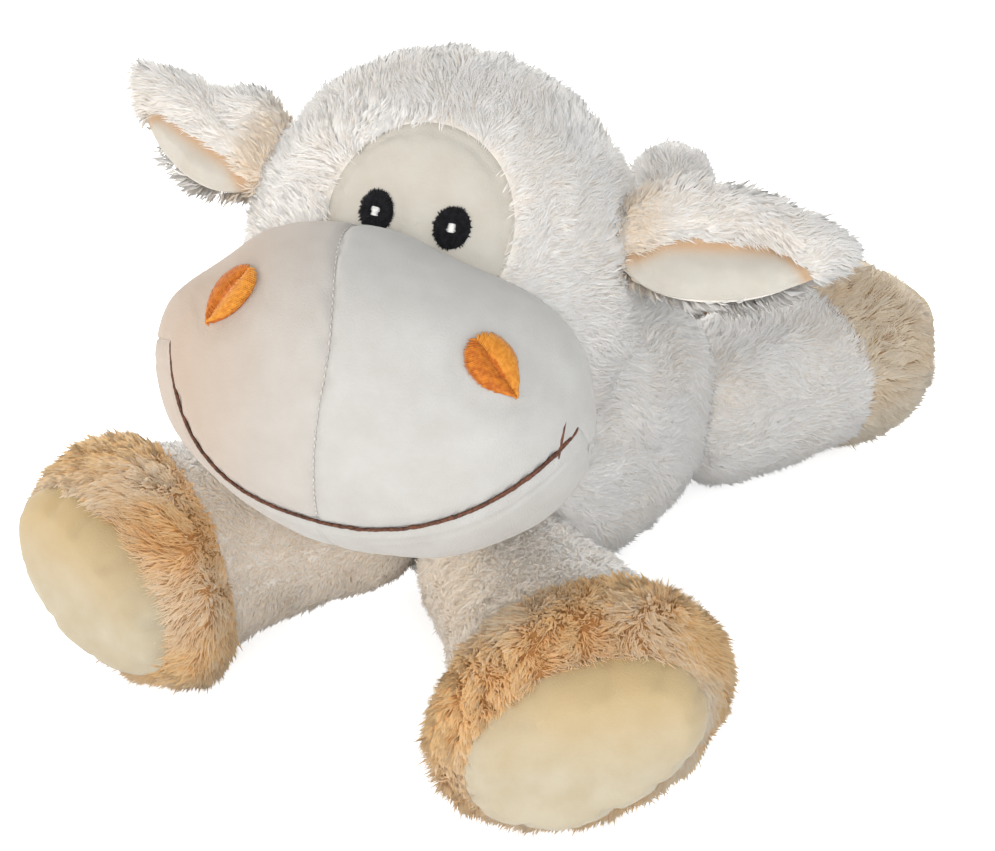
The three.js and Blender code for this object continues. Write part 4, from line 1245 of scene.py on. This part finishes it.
def nostril_surface(sign):
    """The muzzle about a nostril's middle, along the nostril's slant and across it."""
    middle = nostril_middle(sign)
    normal = unit(middle / MUZZLE**2)
    level = unit(np.cross(UP, normal))
    slant = np.radians(NOSTRIL_SLANT[sign])
    along = level * np.cos(slant) + np.cross(normal, level) * np.sin(slant)
    return muzzle_surface(middle, along, np.cross(normal, along))


def add_nostrils():
    """Rust grounds, and on each two halves of slanting stitches that meet along the middle."""
    # The lower half's darker gold thread is painted shade.
    halves = {"upper": (1, GOLD_THREAD), "lower": (-1, SHADED_GOLD_THREAD)}
    place = np.linspace(-0.49, 0.47, NOSTRIL_ROWS) * NOSTRIL_LENGTH
    swell = np.sin(np.pi * np.linspace(0.12, 0.9, STITCH_POINTS))[None, :, None] * 1.1
    for seed, (side, sign) in enumerate(SIDES.items()):
        rng = np.random.default_rng(420 + seed)
        surface = nostril_surface(sign)
        ground = sewn_mesh(f"nostril_{side}_ground", dome_grid(surface, leaf_outline, 1.0), 0.8)
        add_piece(ground, RUST_THREAD, "head", [f"nostril_{side}"])
        for half, (turn, material) in halves.items():
            starts = np.stack([place + 1.5, turn * (-0.5 + rng.normal(0, 0.2, NOSTRIL_ROWS))], -1)
            reach = leaf_half_width(place) + rng.uniform(-0.2, 0.35, NOSTRIL_ROWS)
            ends = np.stack([place - 0.8, turn * reach], -1)
            paths, ups = straight_paths(starts, ends, surface)
            fill = stitch_mesh(f"nostril_{side}_{half}_stitches", paths + ups * swell, ups, 0.5, 0.42)
            add_piece(fill, material, "head")


def laid_along(points, ups, first, rest, step, length):
    """Stitches of five points each that start at even steps along a line, from a first place to a rest
    before its end, and follow it for a length."""
    measure = np.concatenate([[0], np.cumsum(np.linalg.norm(np.diff(points, axis=0), axis=1))])
    starts = np.arange(first, measure[-1] - rest, step)
    along = starts[:, None] + np.linspace(0, length, STITCH_POINTS)
    paths, normals = (np.stack([np.interp(along, measure, values[:, k]) for k in range(3)], -1)
                      for values in (points, ups))
    return paths, unit(normals)


def add_seam():
    """Small pale stitches in the groove of the muzzle's middle seam, from the mouth up to the face."""
    angle = np.radians(np.linspace(-18, 112, 2001))
    across = seam_across(angle)
    local = muzzle_point(across, angle, -0.3 - muzzle_ease(across, angle))
    line = MUZZLE_PLACE.out(local)
    paths, normals = laid_along(line, muzzle_normals(local), 1, 2, SEAM_STEP, SEAM_STITCH)
    stitches = stitch_mesh("muzzle_seam_stitches", paths, normals, 0.3, 0.25)
    add_piece(stitches, SEAM_THREAD, "head")


def mouth_tick():
    """One upright stitch at the mouth's left corner, with its normals."""
    share = np.linspace(0, 1, STITCH_POINTS)
    across = MOUTH_SIDES[1][0] - 3.2 - 0.6 * share
    height = mouth_height(across[0]) - 3 + 13 * share
    ring = np.sqrt(1 - (across / MUZZLE[0]) ** 2)
    local = muzzle_point(across, np.arcsin(height / (MUZZLE[2] * ring)), 0.3 + 0 * share)
    return MUZZLE_PLACE.out(local)[None], muzzle_normals(local)[None]


def add_mouth():
    """Short slanting stitches that overlap along the mouth, and a tick at its left corner. They widen
    from the right corner to the left one."""
    rng = np.random.default_rng(440)
    across = np.linspace(-MOUTH_SIDES[-1][0], MOUTH_SIDES[1][0], 2001)
    local = muzzle_point(across, mouth_angle(across), -0.2 + 0 * across)
    line = MUZZLE_PLACE.out(local)
    paths, normals = laid_along(line, muzzle_normals(local), 0, 4, MOUTH_STEP, MOUTH_STITCH)
    aside = unit(np.cross(normals, np.gradient(paths, axis=1)))
    slant = np.linspace(-0.45, 0.45, STITCH_POINTS)[None, :, None] + rng.normal(0, 0.12, (len(paths), 1, 1))
    tick, tick_normals = mouth_tick()
    paths = np.concatenate([paths + aside * slant + normals * 0.35, tick])
    normals = np.concatenate([normals, tick_normals])
    place = MUZZLE_PLACE.back(paths)[:, 2, 0]
    width = np.interp(place, (-30, 60), MOUTH_THREAD)[:, None, None, None]
    mouth = stitch_mesh("mouth_stitches", paths, normals, width, 0.7)
    add_piece(mouth, BROWN_THREAD, "head", ["mouth_stitch"])


# Ears


def ear_bend(along, sign):
    """How far the ear is turned up, growing towards its tip as a power of the way along."""
    rise = EAR_BEND[sign] * np.clip(along / (EAR_MIDDLE + EAR_HALF[0]), 0, 1) ** 1.5
    return rise[..., None] * UP


def ear_points(local, sign):
    """From the left ear's own frame to the layout, mirrored in the head for the right ear."""
    return HEAD_PLACE.out(on_side(EAR_IN_HEAD.out(local + ear_bend(local[..., 0], sign)), sign))


def ear_local(points, sign):
    """From the layout to the left ear's own frame, where the ear isn't bent."""
    bent = EAR_IN_HEAD.back(on_side(HEAD_PLACE.back(points), sign))
    return bent - ear_bend(bent[..., 0], sign)


def in_ear(points, sign, inset):
    """Inside the ear's tapered and cupped ellipsoid."""
    local = ear_local(points, sign)
    along = (local[..., 0] - EAR_MIDDLE) / (EAR_HALF[0] - inset)
    half_width = EAR_HALF[2] * (1 - EAR_TAPER * along) - inset
    through = (local[..., 1] + ear_cup(local)) / (EAR_HALF[1] - inset)
    return along**2 + through**2 + (local[..., 2] / half_width) ** 2 < 1


def ear_cup(local):
    """How far a place comes forward, as the square of the way to the long edges."""
    return EAR_CUP * (local[..., 2] / EAR_HALF[2]) ** 2


def lip_edge(along, sign):
    """Height of the lip's edge, which comes down at the root and curls round the lining's end."""
    return LIP_EDGE[sign] - 16 * eased((along - 50) / 22) - 5 * eased((14 - along) / 14)


def ear_leaf(directions, sign):
    """Ball stretched to a leaf that is broader at its root, with both long edges brought forward and a lip
    where the upper half folds over the lining."""
    half_width = EAR_HALF[2] * (1 - EAR_TAPER * directions[..., 0]) - EAR_INSET
    half_width = half_width * (1 - 0.4 * np.clip(directions[..., 0], 0, 1) ** 2)
    folded = (1 - EAR_UPPER[sign]) * eased((directions[..., 0] + 0.7) / 0.8)
    half_width = half_width * np.where(directions[..., 2] > 0, 1 - folded, 1)
    along = (EAR_HALF[0] - EAR_INSET) * directions[..., 0] + EAR_MIDDLE
    through = (EAR_HALF[1] - EAR_THINNING) * directions[..., 1]
    local = np.stack([along, through, half_width * directions[..., 2]], -1)
    rise = eased((local[..., 2] - lip_edge(local[..., 0], sign)) / 7)
    local[..., 1] -= ear_cup(local) + EAR_LIP * np.sqrt(np.clip(-directions[..., 1], 0, 1)) * rise
    return local


def ear_in_head_way(local):
    """Inside the head at any flap of the ear."""
    flapped = (EAR_IN_HEAD.out(local @ turned("Z", flap).T) for flap in EAR_FLAPS)
    return any_of(((in_head / (HEAD + SKIN_CLEARANCE)) ** 2).sum(-1) < 1 for in_head in flapped)


def lining_share(local):
    """Square of the way from the lining's middle to its oval edge."""
    flat = (local[..., [0, 2]] - LINING_MIDDLE) / LINING_HALF
    return (flat**2).sum(-1)


def lining_drop(along):
    """How far the lining reaches below its middle: its oval, held inside the ear's lower edge."""
    lean = (along - EAR_MIDDLE) / EAR_HALF[0]
    edge = (EAR_HALF[2] * (1 - EAR_TAPER * lean) - EAR_INSET) * (1 - 0.4 * np.clip(lean, 0, 1) ** 2)
    room = edge * np.sqrt(np.maximum(1 - lean**2, 0)) + LINING_MIDDLE[1] - LINING_RIM
    oval = 1 - ((along - LINING_MIDDLE[0]) / LINING_HALF[0]) ** 2
    reach = LINING_HALF[1] * np.sqrt(np.maximum(oval, 0.01))
    return reach, np.clip(room / reach, 0.3, 1)


def on_lining(points, sign, edge):
    """On the front of the lining, below an edge beside the lip's, or in the head."""
    own = ear_local(points, sign)
    low = own[..., 2] < lip_edge(own[..., 0], sign) + edge + 0.8 * ripple(own, 8, 31)
    near_lining = (lining_share(own) < 1) | (own[..., 2] < LINING_MIDDLE[1]) & (own[..., 0] > 20)
    reach, share = lining_drop(own[..., 0])
    near_lining &= own[..., 2] > LINING_MIDDLE[1] - reach * share - 0.3
    in_head = in_ellipsoid(points, HEAD_PLACE, HEAD - 5)
    return in_head | low & near_lining & (own[..., 1] + ear_cup(own) < 0)


def along_ear(points, sign):
    """Towards the tip, and out over the long edges, more so over the upper one."""
    own = ear_local(points, sign)
    lean = unit(np.array([EAR_MIDDLE + EAR_HALF[0] + 6, 0, -2.0]) - own)
    lean[..., 2] += np.where(own[..., 2] > 0, 1.6, -0.5) * (own[..., 2] / EAR_HALF[2]) ** 2
    return on_side(lean @ EAR_MATRIX.T, sign) @ HEAD_MATRIX.T


def lining_grid(sign):
    """Oval patch on the ear's front, from its middle out, and the share of the way out. It is hollowed by a
    fold near the tip and sinks under the lip."""
    share = np.linspace(0, 1.02, 31)[:, None]
    angle = np.linspace(0, 2 * np.pi, 73)
    along = LINING_MIDDLE[0] + LINING_HALF[0] * share * np.cos(angle)
    across = LINING_MIDDLE[1] + LINING_HALF[1] * share * np.sin(angle)
    lean = (along - EAR_MIDDLE) / EAR_HALF[0]
    below = np.minimum(across - LINING_MIDDLE[1], 0)
    across = across - below * (1 - lining_drop(along)[1])
    inside = np.maximum(1 - lean**2 - (across / (EAR_HALF[2] * (1 - EAR_TAPER * lean))) ** 2, 0)
    front = -(EAR_HALF[1] - EAR_THINNING) * np.sqrt(inside)
    fold = 3.0 * np.exp(-(((along - 57) / 13) ** 2) - ((across + 1) / 4.5) ** 2)
    under_lip = eased((across - LIP_EDGE[sign] + 11) / 10)
    fold = fold + 2.2 * under_lip * np.cos(np.pi / 2 * np.clip(share, 0, 1))
    local = np.stack([along, front - 3.0 * (1 - share**2) - 0.6 + fold, across], -1)
    local[..., 1] -= ear_cup(local)
    return ear_points(local, sign), share + 0 * angle


def add_ear(side, sign):
    """Shaggy cover whose pile is warm at the root, painted shade where the ear meets the head, and a lining
    that is warm under the lip, painted shade in the lip's fold.
    """
    body = f"ear_{side}"
    local = ear_leaf(ball_grid(40, 64, "X"), sign)
    local = drawn_clear(local, np.array([EAR_MIDDLE + 15, 0, 0]), ear_in_head_way)
    grid = ear_points(local, sign)
    cover = sewn_mesh(f"ear_{side}_cover", grid)
    add_piece(cover, WHITE_BACKING, body, [f"ear_{side}_outer"])
    # The pile's tint grows towards the ear's root: painted shade in the fold where the ear meets the head.
    hair = pile_mesh(
        f"ear_{side}_pile", grid, LONG_PILE, lambda p: along_ear(p, sign),
        lambda p: on_lining(p, sign, 2.5), 500 + (sign > 0) * 10, lambda p: on_lining(p, sign, -2.5),
        lambda p: 0.1 + 0.8 * eased((16 - ear_local(p, sign)[..., 0]) / 16))
    add_piece(hair, WHITE_HAIR, body)

    def fold_shade(points):
        """Share of the warm tint, painted shade in the fold under the lip: a bell curve of the distance
        from the lip's edge.
        """
        own = ear_local(points, sign)
        return 0.75 * np.exp(-(((own[..., 2] - lip_edge(own[..., 0], sign)) / 3.5) ** 2))

    grid, share = lining_grid(sign)
    grid = stuffed(grid, share > 0.9, LINING_CAP)
    lining = warm_tinted(sewn_mesh(f"ear_{side}_lining_cover", grid, SHORT_CLOTH), fold_shade)
    add_piece(lining, CREAM_CLOTH, body, [f"ear_{side}_lining"])


# Legs


def closed_profile(profile, first=False, last=False):
    """Profile that starts or ends on the centre line, so that its turned form is closed."""
    parts = [profile]
    if first:
        parts.insert(0, [(0.0, profile[0, 1])])
    if last:
        parts.append([(0.0, profile[-1, 1])])
    return np.vstack(parts)


def toward_foot(leg):
    """The way a leg's pile lies: towards its sole."""
    return lambda points: on_side(leg.end, leg.side) + 0 * points


def add_sleeve(leg, seed):
    """White sleeve and its pile, which is warm on the inner side of a front leg: painted warm shade."""
    body, name = f"{leg.name}_leg", leg.name
    pile = FRONT_LEG_PILE if leg.forward < 0 else HIND_LEG_PILE

    def blocked(points):
        """In the body or the muzzle."""
        return in_body(points, -5) | in_muzzle(points, 0)

    def tint(points):
        """Share of the warm tint, painted warm shade that grows with the way inward from the leg's middle.
        """
        inner = unit(np.cross(leg.start + leg.end, UP))
        inward = (on_side(points, leg.side) - leg.points[leg.STEPS // 2]) @ inner
        return pile["tint"] + (0.6 * eased((inward + 18) / 44) if leg.forward < 0 else 0)

    profile = leg.sleeve_profile(SKIN_DEPTH)
    cover = sewn_mesh(f"{name}_sleeve_skin", leg.fitted(closed_profile(profile, last=True)))
    add_piece(cover, WHITE_BACKING, body, [f"{name}_sleeve"])
    hair = pile_mesh(f"{name}_sleeve_pile", leg.fitted(profile), pile, toward_foot(leg),
                     blocked, seed, tint=tint)
    add_piece(hair, WHITE_HAIR, body)


def add_foot(leg, seed):
    """Tan foot and its pile, which is paler at the edge of the sole and on the sheep's left."""
    body, name = f"{leg.name}_leg", leg.name

    def tint(points):
        """Share of the dye, less what fades near the sole and leftward."""
        leftward = points[..., 0] - leg.points[-1, 0] * leg.side
        behind = (leg.points[-1] - on_side(points, leg.side)) @ leg.end
        return leg.leg["tan"] - 0.35 * eased((12 - behind) / 12) - 0.2 * eased((leftward + 5) / 45)

    profile = leg.foot_skin()
    cover = sewn_mesh(f"{name}_foot_skin", leg.fitted(closed_profile(profile, True, True)))
    add_piece(cover, TAN_BACKING, body, [f"{name}_foot_cover"])
    hair = pile_mesh(f"{name}_foot_pile", leg.fitted(profile), TAN_PILE, toward_foot(leg),
                     lambda p: leg.on_sole(p, 4), seed, tint=tint)
    add_piece(hair, TAN_HAIR, body)


def sole_grid(leg, seed):
    """Crowned sole: a quarter oval turned about the leg's line, with a rim behind it and soft lumps."""
    rise = np.linspace(0, np.pi / 2, 25)
    radius = SOLE_RADIUS * np.cos(rise) ** 0.6 + 1.6 * np.sin(2 * rise)
    dome = np.stack([radius, leg.length + SOLE_PUFF * np.sin(rise) ** 0.9], -1)
    dome[-1, 0] = 0
    edge = np.array([(SOLE_RADIUS - 3, leg.length - 4), (SOLE_RADIUS - 0.8, leg.length - 2.5)])
    grid = leg.fitted(closed_profile(np.vstack([edge, dome]), True))
    inner = eased(np.linspace(0, 2.5, len(grid)) - 0.6)[:, None]
    lumps = 0.8 * ripple(grid, 34, seed) * inner * (np.arange(len(grid)) < len(grid) - 1)[:, None]
    return grid + grid_normals(grid) * lumps[..., None]


def add_sole(leg, seed):
    """Stuffed sole, held at its rim, which is warmer towards its top."""
    grid = sole_grid(leg, seed)
    held = np.zeros(grid.shape[:2], bool)
    held[:5] = True
    grid = stuffed(grid, held, SOLE_CAP)
    grid[..., 2] = np.maximum(grid[..., 2], FLOOR_RISE)
    middle = grid[-1, 0]
    sole = warm_tinted(sewn_mesh(f"{leg.name}_sole", grid), lambda p: (p[..., 2] - middle[2] + 6) / 40)
    add_piece(sole, SOLE_CLOTH, f"{leg.name}_leg", [f"{leg.name}_sole_pad"])


# Tail


def tail_grid(inset):
    """Round root and a round tip of its own, joined by a straight taper, about the tail's axis."""
    low = np.linspace(-np.pi / 2, 0, 13)
    high = np.linspace(0, np.pi / 2, 17)
    root, tip = TAIL_ROOT - inset, TAIL_RADIUS - inset
    radius = np.concatenate([root * np.cos(low), tip * np.cos(high)])
    along = np.concatenate([root * np.sin(low), TAIL_LENGTH + tip * np.sin(high)])
    radius[[0, -1]] = 0
    angles = np.linspace(0, 2 * np.pi, 57)
    sideways = np.array([1.0, 0, 0])
    backward = np.cross(TAIL_AXIS, sideways)
    ring = sideways * np.cos(angles)[:, None] + backward * np.sin(angles)[:, None]
    points = TAIL_CENTRE + along[:, None, None] * TAIL_AXIS + radius[:, None, None] * ring

    def blocked(places):
        """Inside the body at any wag, apart from the hollow for the tail's root."""
        wagged = (turned_about(places, TAIL_CENTRE, turned("Y", -wag)) for wag in TAIL_WAGS)
        hit = any_of(in_body(place, SKIN_CLEARANCE) for place in wagged)
        return hit & ~in_ball(places, TAIL_CENTRE, TAIL_ROOT)

    centres = TAIL_CENTRE + np.clip(along, 0, TAIL_LENGTH)[:, None, None] * TAIL_AXIS + 0 * points
    return drawn_clear(points, centres, blocked)


def add_tail():
    """Tail's skin and its pile, which lies towards the tip."""
    grid = tail_grid(SKIN_DEPTH)
    cover = sewn_mesh("tail_skin", grid)
    add_piece(cover, WHITE_BACKING, "tail", ["tail_cover"])
    hair = pile_mesh("tail_pile", grid, LONG_PILE, lambda p: TAIL_AXIS + 0 * p,
                     lambda p: in_body(p, -5), 600)
    add_piece(hair, WHITE_HAIR, "tail")


# Stuffing


def lumpy(grid, seed):
    """A wad's form with the soft lumps of loose fibre."""
    return grid - grid_normals(grid) * (LUMP_HEIGHT + LUMP_HEIGHT * ripple(grid, 18, seed))[..., None]


def add_wads():
    """Wads under the covers: the same forms, drawn in."""
    rise, around = np.linspace(-np.pi / 2, np.pi / 2, 31), np.linspace(0, 2 * np.pi, 49)
    ball = ball_grid(30, 48)
    head = drawn_clear(HEAD_PLACE.out(ball * (HEAD - WAD_DEPTH)), HEAD_PLACE.origin, in_neck)
    wads = {
        "body_wad": ("torso", body_angles_grid(rise, around, -WAD_DEPTH), "body_stuffing"),
        "neck_wad": ("neck", NECK_CENTRE + ball * NECK_RADIUS, "neck_stuffing"),
        "head_wad": ("head", head, "head_stuffing"),
        "muzzle_wad": ("head", MUZZLE_PLACE.out(ball * (MUZZLE - WAD_DEPTH)), "muzzle_stuffing"),
        "tail_wad": ("tail", tail_grid(WAD_DEPTH), "tail_stuffing"),
    }
    for leg in LEG_FORMS:
        profile = np.vstack([leg.sleeve_profile(WAD_DEPTH, 10), leg.foot_profile(WAD_DEPTH, 10)[1:]])
        grid = leg.fitted(closed_profile(profile, last=True))
        wads[f"{leg.name}_leg_wad"] = (f"{leg.name}_leg", grid, f"{leg.name}_leg_stuffing")
    for seed, (name, (body, grid, node)) in enumerate(wads.items()):
        wad = sewn_mesh(name, lumpy(grid, 700 + seed))
        add_piece(wad, FIBRE_FILL, body, [node])


# Stage


def seen(nodes, links):
    """1 for a ray from the camera, also by way of gloss or glass, and 0 for light."""
    path = nodes.new("ShaderNodeLightPath")
    total = path.outputs["Is Camera Ray"]
    for way in ("Is Glossy Ray", "Is Transmission Ray"):
        larger = nodes.new("ShaderNodeMath")
        larger.operation = "MAXIMUM"
        links.new(total, larger.inputs[0])
        links.new(path.outputs[way], larger.inputs[1])
        total = larger.outputs[0]
    return total


def add_floor():
    """White floor that takes the shadow. To the camera it adds a little of its own white."""
    mesh = bpy.data.meshes.new("floor")
    square = ((-1, -1), (1, -1), (1, 1), (-1, 1))
    mesh.from_pydata([(x * FLOOR_HALF, y * FLOOR_HALF, 0) for x, y in square], [], [(0, 1, 2, 3)])
    floor = bpy.data.objects.new("floor", mesh)
    bpy.context.scene.collection.objects.link(floor)
    material, nodes, links, shader = new_material("floor_white", 1.0, 0.0, 0.0)
    shader.inputs["Base Color"].default_value = (FLOOR_SHADE, FLOOR_SHADE, FLOOR_SHADE, 1)
    shader.inputs["Emission Color"].default_value = (1, 1, 1, 1)
    scale = nodes.new("ShaderNodeMath")
    scale.operation = "MULTIPLY"
    scale.inputs[1].default_value = FLOOR_GLOW
    links.new(seen(nodes, links), scale.inputs[0])
    links.new(scale.outputs[0], shader.inputs["Emission Strength"])
    mesh.materials.append(material)


def add_world():
    """White all round to the camera, and a weaker white as light."""
    world = bpy.data.worlds.new("studio")
    bpy.context.scene.world = world
    world.use_nodes = True
    nodes, links = world.node_tree.nodes, world.node_tree.links
    strength = nodes.new("ShaderNodeMapRange")
    strength.inputs["To Min"].default_value = WORLD_LIGHT
    strength.inputs["To Max"].default_value = 1.0
    links.new(seen(nodes, links), strength.inputs["Value"])
    background = nodes["Background"]
    background.inputs["Color"].default_value = (1, 1, 1, 1)
    links.new(strength.outputs["Result"], background.inputs["Strength"])


def aimed(thing, target, around, above, distance):
    """Places a camera or lamp at angles round its target and above the floor, looking at the target."""
    a, e = np.radians([around, above])
    back = Vector((np.sin(a) * np.cos(e), -np.cos(a) * np.cos(e), np.sin(e)))
    thing.location = Vector(target) + back * distance
    thing.rotation_mode = "QUATERNION"
    thing.rotation_quaternion = back.to_track_quat("Z", "Y")
    bpy.context.scene.collection.objects.link(thing)


def add_lamps():
    """Soft square lamps that look at the middle of the sheep."""
    for name, (around, above, size, watts, shade) in LAMPS.items():
        data = bpy.data.lights.new(name, "AREA")
        data.size = size
        data.energy = watts
        data.color = shade
        aimed(bpy.data.objects.new(name, data), LAMP_TARGET, around, above, LAMP_DISTANCE)


def add_camera():
    """Camera at the photograph's angle. Its lens is the focal length in pixels, scaled to the sensor."""
    data = bpy.data.cameras.new("camera")
    data.sensor_width = SENSOR_WIDTH
    data.lens = CAMERA_FOCAL / IMAGE_WIDTH * data.sensor_width
    camera = bpy.data.objects.new("camera", data)
    aimed(camera, placed(CAMERA_TARGET)[0], CAMERA_AROUND, CAMERA_ABOVE, CAMERA_DISTANCE * MM)
    bpy.context.scene.camera = camera


add_camera()
add_body()
add_head()
add_neck()
add_face()
add_muzzle()
add_eyes()
add_nostrils()
add_seam()
add_mouth()
for ear_side, ear_sign in SIDES.items():
    add_ear(ear_side, ear_sign)
for leg_number, leg_form in enumerate(LEG_FORMS):
    leg_seed = 800 + 100 * leg_number
    add_sleeve(leg_form, leg_seed)
    add_foot(leg_form, leg_seed + 20)
    add_sole(leg_form, leg_seed + 41)
add_tail()
add_wads()
add_floor()
add_world()
add_lamps()
bpy.context.scene.view_settings.view_transform = "Standard"
